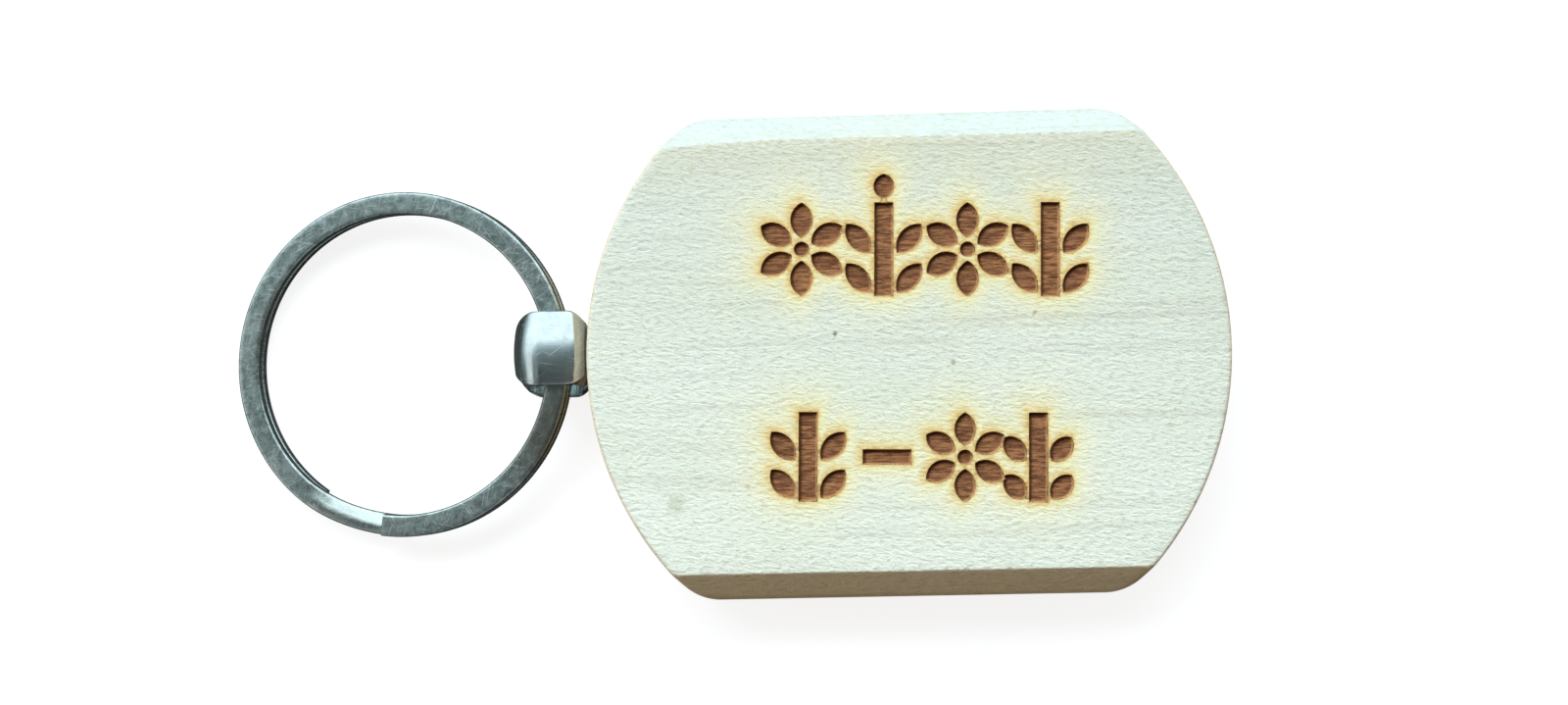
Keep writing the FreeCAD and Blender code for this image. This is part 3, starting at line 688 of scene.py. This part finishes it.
def make_split_ring(material):
    """Upper turn from its cut end, ramp down beside it, lower turn to the other cut end."""
    turn = 360 - RAMP_ANGLE
    last = 360 + turn
    # degrees from the first cut end, finer from just before the ramp to just after it
    travel = np.concatenate([
        [0.0, CUT_RUN],
        np.arange(1, turn - 8, 1.0),
        np.linspace(turn - 8, 365, 60),
        np.arange(366, last, 1.0),
        [last - CUT_RUN, last],
    ])
    outward, up = wire_section().T
    upper = np.clip(up / COIL_THICKNESS + 0.5, 0, 1)
    lean = RAMP_LEAN * upper * (np.hypot(outward - RAMP_RIDGE, RIDGE_ROUNDING) - RIDGE_ROUNDING)
    sections = []
    for degrees in travel:
        along_ramp = (degrees - turn) / RAMP_ANGLE
        share = np.clip(along_ramp, 0, 1)
        level = COIL_PITCH * (1 - share * share * (3 - 2 * share)) + COIL_THICKNESS / 2
        cranked = np.interp(along_ramp, CRANK_PLACES, (0, 1, 1, 0))
        scale = CUT_SCALE if degrees in (travel[0], travel[-1]) else (1, 1)
        angle = math.radians(SPLIT_ANGLE + degrees)
        radius = RING_RADIUS - WIRE_WIDTH / 2 + outward * scale[0]
        height = level + up * scale[1] - cranked * lean
        sections.append(np.column_stack([radius * math.cos(angle), radius * math.sin(angle), height]))
    points = np.concatenate(sections)
    faces = closed_tube_faces(len(sections), len(outward))

    mount = next(item for item in frame["record"]["mounts"] if item["name"] == "key_ring")
    normal = Vector(mount["axis"]).normalized()
    along = Vector((0, 1, 0)).cross(normal).normalized()
    spin = np.array([along, normal.cross(along), normal])
    middle_level = (COIL_PITCH + COIL_THICKNESS) / 2
    points = (points - (0, 0, middle_level)) @ spin + np.array(mount["pos_m"]) / MM
    piece = new_piece("key_ring", points, faces, sharp=40)
    finish_piece(piece, material, "ring", "split_ring")


# ---- pin and glue ----

SHANK_RADIUS = 0.6
SHANK_END = 7.0
PIN_TIP = 7.8
CROWN_HEIGHT = 0.12
PLAY = 0.02  # between the pin's head and its counterbore
GLUE_FRONT = 0.3  # the glue's surface, from the block's end
MENISCUS = 0.35
GLUE_GAP = 0.01  # between the glue and the hole


def make_retaining_pin(material):
    """A brad with a slightly domed head, from its head at the back to its tip."""
    head = PIN_HEAD_RADIUS - PLAY
    angles = np.linspace(0, math.pi / 2, 7)
    crown = [(head * math.sin(a), CROWN_HEIGHT * (1 - math.cos(a))) for a in angles]
    profile = [(0.0, 0.0)] + crown[1:] + [(head, PIN_HEAD_THICKNESS), (SHANK_RADIUS, PIN_HEAD_THICKNESS)]
    profile += [(SHANK_RADIUS, SHANK_END), (0.0, PIN_TIP)]
    points, faces = lathe(profile)
    piece = new_piece("brad_pin", points + (*PIN_PLACE, PIN_RECESS), faces)
    finish_piece(piece, material, "fob", "retaining_pin")


def make_adhesive_plug(material):
    """Glue set in the hole, climbing its wall in a meniscus."""
    radius = HOLE_RADIUS - GLUE_GAP
    shares = np.linspace(0, 1, 12)
    surface = [(radius * share, GLUE_FRONT + MENISCUS * (1 - share**4)) for share in shares]
    profile = surface + [(radius, HOLE_DEPTH - GLUE_GAP), (0.0, HOLE_DEPTH - GLUE_GAP)]
    points, faces = lathe(profile)
    points = points[:, [2, 1, 0]] * (1, 1, -1)
    piece = new_piece("glue_plug", points + (-LENGTH / 2, HOLE_OFFSET, THICKNESS / 2), faces)
    finish_piece(piece, material, "fob", "adhesive_plug")


# ---- node helpers ----


def node(tree, kind, inputs=(), **settings):
    """Adds a shader node. inputs pairs an input's name or place with a value or another's output."""
    made = tree.nodes.new(f"ShaderNode{kind}")
    for key, value in settings.items():
        setattr(made, key, value)
    for key, value in dict(inputs).items():
        if isinstance(value, bpy.types.NodeSocket):
            tree.links.new(value, made.inputs[key])
        else:
            made.inputs[key].default_value = value
    return made


def calc(tree, operation, *values):
    return node(tree, "Math", enumerate(values), operation=operation).outputs[0]


def remap(tree, value, low, high, to_low=0.0, to_high=1.0):
    """Takes low..high to to_low..to_high and stays at those ends beyond them."""
    inputs = {"Value": value, "From Min": low, "From Max": high, "To Min": to_low, "To Max": to_high}
    return node(tree, "MapRange", inputs).outputs["Result"]


def band(tree, value, near, far):
    """1 between two soft edges; each edge is the value where it is 0 and the value where it is 1."""
    return calc(tree, "MINIMUM", remap(tree, value, *near), remap(tree, value, *far))


def colour_mix(tree, share, first, second, mode="MIX"):
    """second over first by share."""
    made = node(tree, "Mix", data_type="RGBA", blend_type=mode)
    for index, value in ((0, share), (6, first), (7, second)):
        if isinstance(value, bpy.types.NodeSocket):
            tree.links.new(value, made.inputs[index])
        else:
            made.inputs[index].default_value = value if index == 0 else (*value, 1)
    return made.outputs[2]


def laid(tree, ground, colour, share, strength):
    """colour over ground by share times strength."""
    return colour_mix(tree, calc(tree, "MULTIPLY", share, strength), ground, colour)


def ramp(tree, value, stops):
    """Colour ramp from (place, colour) stops."""
    made = node(tree, "ValToRGB", {0: value})
    elements = made.color_ramp.elements
    while len(elements) < len(stops):
        elements.new(1.0)
    for element, (place, colour) in zip(elements, stops):
        element.position = place
        element.color = (*colour, 1)
    return made.outputs[0]


def millimetres(tree, stretch=(1, 1, 1), turn=(0, 0, 0)):
    """The piece's own coordinates in millimetres, turned and then stretched."""
    place = node(tree, "TexCoord").outputs["Object"]
    scale = [1 / MM * share for share in stretch]
    angles = [math.radians(angle) for angle in turn]
    turned = node(tree, "Mapping", {"Vector": place, "Rotation": angles})
    return node(tree, "VectorMath", {0: turned.outputs[0], 1: scale}, operation="MULTIPLY").outputs[0]


def noise(tree, where, detail, scale=1.0, rough=0.5, warp=0.0):
    inputs = {"Vector": where, "Scale": scale, "Detail": detail, "Roughness": rough, "Distortion": warp}
    return node(tree, "TexNoise", inputs).outputs[0]


def pattern(tree, stretch, detail, turn=(0, 0, 0), rough=0.5, warp=0.0):
    """Noise in the piece's own millimetres; a smaller stretch makes longer shapes."""
    return noise(tree, millimetres(tree, stretch, turn), detail, rough=rough, warp=warp)


def bump(tree, height, distance, normal=None):
    """Relief of a height in millimetres, on top of another relief where normal is given."""
    inputs = {"Height": height, "Distance": distance * MM, "Strength": 1.0}
    if normal is not None:
        inputs["Normal"] = normal
    return node(tree, "Bump", inputs).outputs[0]


def new_material(name, **settings):
    """A material with one Principled shader whose sockets are set by name."""
    material = bpy.data.materials.new(name)
    material.use_nodes = True
    tree = material.node_tree
    shader = tree.nodes["Principled BSDF"]
    for key, value in settings.items():
        shader.inputs[key.replace("_", " ")].default_value = value
    return material, tree, shader


def connect(tree, shader, colour, rough, relief):
    for name, value in (("Base Color", colour), ("Roughness", rough), ("Normal", relief)):
        tree.links.new(value, shader.inputs[name])


# ---- materials ----

# Marks in the wood: (place in millimetres, radius, strength, colour)
BLEMISHES = [
    ((-6.0, 1.7, THICKNESS), 0.22, 0.8, (0.16, 0.13, 0.10)),
    ((10.7, 3.1, THICKNESS), 0.20, 0.7, (0.20, 0.14, 0.10)),
    ((3.8, -0.9, THICKNESS), 0.26, 0.6, (0.24, 0.18, 0.13)),
    ((-19.6, -12.2, THICKNESS), 0.9, 0.5, (0.42, 0.45, 0.30)),
    ((-13.5, -10.9, THICKNESS), 0.25, 0.4, (0.30, 0.24, 0.16)),
]

# Painted shade on the ring beside the strap, and a painted highlight on its ramp: (place, radius)
RING_PAINTED_SHADE = ((-30.3, -6.0, 4.3), 5.5)
RAMP_PAINTED_HIGHLIGHT = ((-48.6, -12.9, 3.0), 3.7)

FIBRE_TURN = (0, 0, 10)  # degrees
GROWTH_TURN = (14, 0, 0)
LIT_WAY = (-0.75, 0.66, 0)  # the light's side: painted light makes the scorch wider and stronger and the burned edges lit towards it, shaded away from it


def spot(tree, centre, radius):
    """Soft-edged ragged spot, 1 at its middle."""
    where = millimetres(tree)
    away = node(tree, "VectorMath", {0: where, 1: centre}, operation="DISTANCE").outputs["Value"]
    ragged = remap(tree, noise(tree, where, 2, scale=2.5), 0.3, 0.7, 0.7, 1.3)
    return remap(tree, calc(tree, "MULTIPLY", away, ragged), radius * 1.15, radius * 0.5)


def wood_material():
    material, tree, shader = new_material("pale_wood", IOR=1.45, Specular_IOR_Level=0.25)
    place = node(tree, "SeparateXYZ", {0: millimetres(tree)})
    normal = node(tree, "SeparateXYZ", {0: node(tree, "TexCoord").outputs["Normal"]})
    level, facing = place.outputs["Y"], normal.outputs["Y"]

    # pale ground with slow cloudy changes, faint long grain and short fibre flecks
    clouds = pattern(tree, (0.05, 0.12, 0.12), 3)
    ground = colour_mix(tree, remap(tree, clouds, 0.3, 0.7), (0.67, 0.69, 0.575), (0.715, 0.725, 0.63))
    grain = pattern(tree, (0.022, 0.9, 0.9), 3, rough=0.6, warp=0.4)
    ground = laid(tree, ground, (0.50, 0.46, 0.38), remap(tree, grain, 0.54, 0.66), 0.32)
    fleck = pattern(tree, (1.45, 2.9, 2.9), 5, FIBRE_TURN, rough=0.68)
    ground = laid(tree, ground, (0.47, 0.475, 0.38), remap(tree, fleck, 0.52, 0.72), 0.85)
    tint = pattern(tree, (0.5, 1.1, 1.1), 2)
    ground = colour_mix(tree, remap(tree, tint, 0.5, 0.75, 0, 0.35), ground, (0.78, 0.76, 0.60))
    below_crease = remap(tree, level, 13.5, WIDTH / 2 - BEVEL_WIDTH - BEVEL_FLARE)
    below_crease = calc(tree, "MULTIPLY", below_crease, remap(tree, fleck, 0.35, 0.6))
    ground = laid(tree, ground, (0.66, 0.60, 0.40), below_crease, 0.55)
    for centre, radius, strength, colour in BLEMISHES:
        ground = laid(tree, ground, colour, spot(tree, centre, radius), strength)

    # painted light: the face painted lighter towards -Y, a painted cool light tint where the wood faces
    # +Y, painted brown shade on the front bevel at -Y
    ground = colour_mix(tree, 1.0, ground, remap(tree, level, -12, 17, 1.06, 0.90), "MULTIPLY")
    ground = colour_mix(tree, remap(tree, facing, 0.2, 0.7), ground, (1.0, 1.1, 1.27), "MULTIPLY")
    # mask of the front bevel, which gets the painted shade
    front = remap(tree, normal.outputs["Z"], 0.1, 0.5)
    front_bevel_painted_shade = calc(tree, "MINIMUM", remap(tree, facing, -0.2, -0.7), front)
    ground = colour_mix(tree, front_bevel_painted_shade, ground, (0.79, 0.66, 0.52), "MULTIPLY")

    # end grain, and pores everywhere
    end_grain = remap(tree, calc(tree, "ABSOLUTE", normal.outputs["X"]), 0.35, 0.8)
    growth = pattern(tree, (0.02, 0.12, 1.0), 4, GROWTH_TURN, rough=0.65, warp=0.6)
    cut = colour_mix(tree, remap(tree, growth, 0.35, 0.65), (0.78, 0.665, 0.49), (0.66, 0.53, 0.37))
    vessels = pattern(tree, (0.6, 5.5, 5.5), 2)
    cut = colour_mix(tree, remap(tree, vessels, 0.58, 0.72, 0, 0.6), cut, (0.46, 0.35, 0.23))
    ground = colour_mix(tree, end_grain, ground, cut)
    pores = pattern(tree, (0.9, 7.0, 7.0), 2)
    ground = colour_mix(tree, remap(tree, pores, 0.62, 0.8, 0, 0.25), ground, (0.45, 0.45, 0.38))

    # scorching, by distance from the burned marks
    scorch = node(tree, "Attribute", attribute_name="scorch").outputs["Fac"]
    side = node(tree, "Attribute", attribute_name="scorch_side").outputs["Vector"]
    lit = node(tree, "VectorMath", {0: side, 1: LIT_WAY}, operation="DOT_PRODUCT")
    lit_side = lit.outputs["Value"]
    ragged = pattern(tree, (1.6, 3.0, 3.0), 3)
    spread = calc(tree, "ADD", scorch, remap(tree, ragged, 0.3, 0.7, -0.12, 0.12))
    spread = calc(tree, "MAXIMUM", spread, 0.0)
    # painted light on the real scorch: its halo and gold edge are drawn wider and stronger on the lit
    # side
    halo_width = remap(tree, lit_side, -1, 1, -0.95, -1.55)
    halo = calc(tree, "EXPONENT", calc(tree, "DIVIDE", spread, halo_width))
    colour = laid(tree, ground, (0.84, 0.74, 0.37), halo, 0.95)
    gold_width = remap(tree, lit_side, -1, 1, -0.12, -0.42)
    gold = calc(tree, "EXPONENT", calc(tree, "DIVIDE", spread, gold_width))
    colour = laid(tree, colour, (0.60, 0.34, 0.08), gold, remap(tree, lit_side, -1, 1, 0.5, 1.0))

    # burned walls and floor
    burned = remap(tree, scorch, 0.02, -0.02)
    scan = pattern(tree, (0.8, 5.5, 1.0), 3, rough=0.6)
    blotch = pattern(tree, (0.5, 0.7, 0.7), 2)
    floor = colour_mix(tree, remap(tree, scan, 0.41, 0.60), (0.145, 0.058, 0.027), (0.42, 0.19, 0.08))
    floor = colour_mix(tree, remap(tree, blotch, 0.4, 0.7, 0, 0.5), floor, (0.20, 0.08, 0.04))
    # painted shadow: a dark strip inside the burned floor's edges on the side away from the light
    shaded = remap(tree, lit_side, -0.6, 0.2, 1, 0)
    strip = calc(tree, "MULTIPLY", remap(tree, scorch, -0.36, -0.18), shaded)
    floor = laid(tree, floor, (0.10, 0.035, 0.012), strip, 0.8)
    # painted highlight: a pale tan edge inside the burned floor's edges on the lit side
    rim = calc(tree, "MULTIPLY", remap(tree, scorch, -0.22, -0.06), remap(tree, lit_side, -0.1, 0.6))
    floor = laid(tree, floor, (0.70, 0.42, 0.20), rim, 0.8)
    colour = colour_mix(tree, burned, colour, floor)

    relief = bump(tree, pores, 0.006, bump(tree, fleck, 0.28))
    connect(tree, shader, colour, remap(tree, fleck, 0.3, 0.7, 0.62, 0.75), relief)
    return material


def scratches(tree, turns, length, fineness, threshold):
    """Sparse fine scratches in several directions, 0 to 1."""
    total = None
    for index, turn in enumerate(turns):
        where = millimetres(tree, (length, fineness, 0.5), (0, 0, turn))
        apart = (index * 13.7, index * 5.1, 0)  # so that no two directions share their pattern
        where = node(tree, "VectorMath", {0: where, 1: apart}, operation="ADD").outputs[0]
        lines = remap(tree, noise(tree, where, 2), threshold, threshold + 0.08)
        total = lines if total is None else calc(tree, "MAXIMUM", total, lines)
    return total


def chrome_material():
    material, tree, shader = new_material("strap_chrome", Metallic=1.0)
    cloud = pattern(tree, (1.2, 1.2, 1.2), 4, rough=0.6)
    base = colour_mix(tree, remap(tree, cloud, 0.35, 0.7), (0.74, 0.82, 0.84), (0.62, 0.69, 0.71))
    marks = scratches(tree, (8, 24, -35, 80), 0.25, 9.0, 0.66)
    rough = remap(tree, cloud, 0.35, 0.75, 0.10, 0.22)
    rough = calc(tree, "ADD", rough, calc(tree, "MULTIPLY", marks, 0.15))
    wavy = pattern(tree, (0.35, 0.35, 0.35), 2)
    brushed = pattern(tree, (0.5, 7.0, 7.0), 3)
    relief = bump(tree, brushed, 0.0015, bump(tree, wavy, 0.03))
    connect(tree, shader, base, rough, bump(tree, marks, 0.002, relief))
    return material


def ring_material():
    material, tree, shader = new_material("ring_steel", Metallic=1.0)
    cloud = pattern(tree, (0.45, 0.45, 0.45), 5, rough=0.65)
    base = colour_mix(tree, remap(tree, cloud, 0.3, 0.7), (0.47, 0.55, 0.54), (0.64, 0.74, 0.74))
    speck = pattern(tree, (1.5, 1.5, 1.5), 4, rough=0.6)
    base = colour_mix(tree, remap(tree, speck, 0.53, 0.63, 0, 0.8), base, (0.32, 0.39, 0.39))
    base = colour_mix(tree, remap(tree, speck, 0.43, 0.34, 0, 0.7), base, (0.90, 0.96, 0.96))
    fine = scratches(tree, (10, 55, -28, 100, -70), 0.35, 10.0, 0.64)
    base = laid(tree, base, (0.92, 0.97, 0.96), fine, 0.7)
    # painted highlight: the ramp lightened where it catches the light
    base = laid(tree, base, (0.84, 0.92, 0.90), spot(tree, *RAMP_PAINTED_HIGHLIGHT), 0.75)
    # painted shade: the ring darkened where it passes beside the strap
    base = laid(tree, base, (0.26, 0.24, 0.21), spot(tree, *RING_PAINTED_SHADE), 0.8)
    rough = remap(tree, cloud, 0.3, 0.75, 0.22, 0.32)
    rough = calc(tree, "ADD", rough, calc(tree, "MULTIPLY", fine, 0.1))
    rolled = pattern(tree, (1.5, 1.5, 1.5), 4)
    relief = bump(tree, speck, 0.004, bump(tree, rolled, 0.02))
    connect(tree, shader, base, rough, bump(tree, fine, 0.003, relief))
    return material


def pin_material():
    material, tree, shader = new_material("pin_steel", Metallic=1.0)
    marks = pattern(tree, (6, 1.0, 6), 4)
    base = colour_mix(tree, remap(tree, marks, 0.3, 0.7), (0.45, 0.44, 0.42), (0.62, 0.61, 0.59))
    rough = remap(tree, marks, 0.3, 0.7, 0.25, 0.42)
    connect(tree, shader, base, rough, bump(tree, marks, 0.006))
    return material


def glue_material():
    material, tree, shader = new_material("hard_glue", Coat_Weight=0.4, Coat_Roughness=0.08, IOR=1.5)
    cloud = pattern(tree, (1.1, 1.1, 1.1), 3)
    base = colour_mix(tree, remap(tree, cloud, 0.3, 0.7), (0.55, 0.42, 0.24), (0.72, 0.62, 0.42))
    rough = remap(tree, cloud, 0.3, 0.7, 0.15, 0.3)
    connect(tree, shader, base, rough, bump(tree, cloud, 0.05))
    return material


# ---- stage ----

VIEW_ROLL = 1.23
VIEW_PITCH = -2.35
VIEW_YAW = -2.43
VIEW_HEIGHT = 206.59  # camera above the frame's origin, along its own axis
VIEW_SLIDE = (-10.74, 0.40)  # camera beside the frame's origin, along its own right and up
LENS = 54.0
SENSOR_WIDTH = 36.0
FLOOR_SIZE = 1.5  # half its side, in metres
FLOOR_DROP = 5e-5  # below the object, in metres
FLOOR_GLOW = 0.84
LIGHT_DISTANCE = 0.6


def make_camera():
    """Looks almost straight down on the face, as close as a phone would be held."""
    turn = Matrix.Rotation(math.radians(VIEW_ROLL), 3, "Z")
    turn = turn @ Matrix.Rotation(math.radians(VIEW_PITCH), 3, "X")
    turn = turn @ Matrix.Rotation(math.radians(VIEW_YAW), 3, "Y")
    data = bpy.data.cameras.new("camera")
    data.lens = LENS
    data.sensor_width = SENSOR_WIDTH
    data.clip_start = 0.01
    data.clip_end = 20.0
    camera = bpy.data.objects.new("camera", data)
    place = turn.transposed() @ Vector((*VIEW_SLIDE, VIEW_HEIGHT)) * MM
    camera.matrix_world = Matrix.Translation(place) @ turn.transposed().to_4x4()
    bpy.context.scene.collection.objects.link(camera)
    bpy.context.scene.camera = camera


def make_floor():
    """Pale to the camera, but to dull surfaces a light brown table and to shiny ones a dark one."""
    corners = ((-1, -1), (1, -1), (1, 1), (-1, 1))
    points = [(i * FLOOR_SIZE, j * FLOOR_SIZE, -FLOOR_DROP) for i, j in corners]
    mesh = bpy.data.meshes.new("floor")
    mesh.from_pydata(points, [], [(0, 1, 2, 3)])
    floor = bpy.data.objects.new("floor", mesh)
    bpy.context.scene.collection.objects.link(floor)
    material, tree, shader = new_material("floor", Roughness=0.9, Specular_IOR_Level=0.0)
    shader.inputs["Base Color"].default_value = (0.22, 0.22, 0.22, 1)
    shader.inputs["Emission Color"].default_value = (1, 1, 1, 1)
    shader.inputs["Emission Strength"].default_value = FLOOR_GLOW
    path = node(tree, "LightPath")
    tone = colour_mix(tree, path.outputs["Is Diffuse Ray"], (0.055, 0.055, 0.05), (0.36, 0.27, 0.19))
    board = node(tree, "BsdfDiffuse", {"Color": tone})
    shaders = {0: path.outputs["Is Camera Ray"], 1: board.outputs[0], 2: shader.outputs[0]}
    both = node(tree, "MixShader", shaders)
    tree.links.new(both.outputs[0], tree.nodes["Material Output"].inputs["Surface"])
    mesh.materials.append(material)


def add_softbox(name, azimuth, elevation, size, power, colour):
    """A rectangular area light that faces the object from azimuth (0 is +Y) and elevation."""
    data = bpy.data.lights.new(name, "AREA")
    data.shape = "RECTANGLE"
    data.size, data.size_y = size
    data.energy = power
    data.color = colour
    lamp = bpy.data.objects.new(name, data)
    turn, rise = math.radians(azimuth), math.radians(elevation)
    flat = math.cos(rise)
    towards = Vector((math.sin(turn) * flat, math.cos(turn) * flat, math.sin(rise)))
    lamp.location = towards * LIGHT_DISTANCE
    lamp.rotation_euler = towards.to_track_quat("Z", "Y").to_euler()
    lamp.visible_camera = False
    lamp.visible_glossy = False  # the metal mirrors the studio's gradient instead
    bpy.context.scene.collection.objects.link(lamp)


def make_lights():
    add_softbox("key", -18, 54, (0.60, 0.26), 3.92, (0.87, 1.0, 1.12))
    add_softbox("left_fill", -95, 18, (0.50, 0.20), 1.0, (1.0, 0.92, 0.79))
    add_softbox("right_fill", 75, 15, (0.50, 0.20), 0.4, (1.0, 0.98, 0.94))


# The world by how far a direction leans towards +Y, from 0 for -Y to 1 for +Y
WORLD_TONES = [
    (0.00, (0.34, 0.37, 0.37)),
    (0.28, (0.17, 0.17, 0.16)),
    (0.42, (0.105, 0.10, 0.09)),
    (0.52, (0.13, 0.15, 0.145)),
    (0.59, (0.13, 0.155, 0.15)),
    (0.65, (0.26, 0.34, 0.36)),
    (0.71, (1.15, 1.32, 1.36)),
    (1.00, (1.15, 1.32, 1.36)),
]
WORLD_WARMTH = [(0.00, (1.05, 0.57, 0.30)), (0.28, (1.05, 0.65, 0.41)), (0.42, (1, 1, 1))]


def make_world():
    """Dim room: bright on the +Y side, dark overhead, and to dull surfaces warm on the -Y side."""
    world = bpy.data.worlds.new("studio")
    bpy.context.scene.world = world
    world.use_nodes = True
    tree = world.node_tree
    direction = node(tree, "SeparateXYZ", {0: node(tree, "TexCoord").outputs["Generated"]})
    across, towards = direction.outputs["X"], direction.outputs["Y"]
    far_left = remap(tree, across, -0.35, -0.9, 0, 0.2)  # counts as leaning a little more
    lean = remap(tree, calc(tree, "ADD", towards, far_left), -1, 1)
    path = node(tree, "LightPath")
    warmth = ramp(tree, lean, WORLD_WARMTH)
    colour = ramp(tree, lean, WORLD_TONES)
    colour = colour_mix(tree, path.outputs["Is Diffuse Ray"], colour, warmth, "MULTIPLY")

    # on the -X side a little more light, a dark patch before it, a pale strip beyond, a dim horizon
    aside = band(tree, across, (-0.12, -0.42), (-0.75, -0.55))
    aside = calc(tree, "MULTIPLY", aside, remap(tree, towards, -0.25, -0.12))
    colour = colour_mix(tree, aside, colour, (0.08, 0.105, 0.105), "ADD")
    patch = band(tree, across, (-0.10, -0.18), (-0.36, -0.30))
    patch = calc(tree, "MINIMUM", patch, remap(tree, towards, 0.12, -0.02))
    colour = colour_mix(tree, patch, colour, (0.05, 0.07, 0.07))
    strip = band(tree, across, (-0.62, -0.72), (-0.97, -0.90))
    strip = calc(tree, "MINIMUM", strip, remap(tree, towards, 0.28, 0.16))
    colour = colour_mix(tree, strip, colour, (0.80, 0.85, 0.83))
    low = remap(tree, direction.outputs["Z"], 0.40, 0.10)
    low = calc(tree, "MULTIPLY", low, remap(tree, across, -0.6, -0.85))
    edge = colour_mix(tree, remap(tree, towards, -0.1, 0.2), (0.10, 0.12, 0.12), (0.26, 0.36, 0.38))
    colour = colour_mix(tree, low, colour, edge)
    colour = colour_mix(tree, path.outputs["Is Camera Ray"], colour, (1.0, 1.0, 1.0))
    tree.links.new(colour, tree.nodes["Background"].inputs["Color"])


# ---- build ----

scene = bpy.context.scene
scene.view_settings.view_transform = "Standard"
make_camera()
make_floor()
make_lights()
make_world()
make_wood_block(wood_material())
make_strap_loop(chrome_material())
make_retaining_pin(pin_material())
make_adhesive_plug(glue_material())
make_split_ring(ring_material())
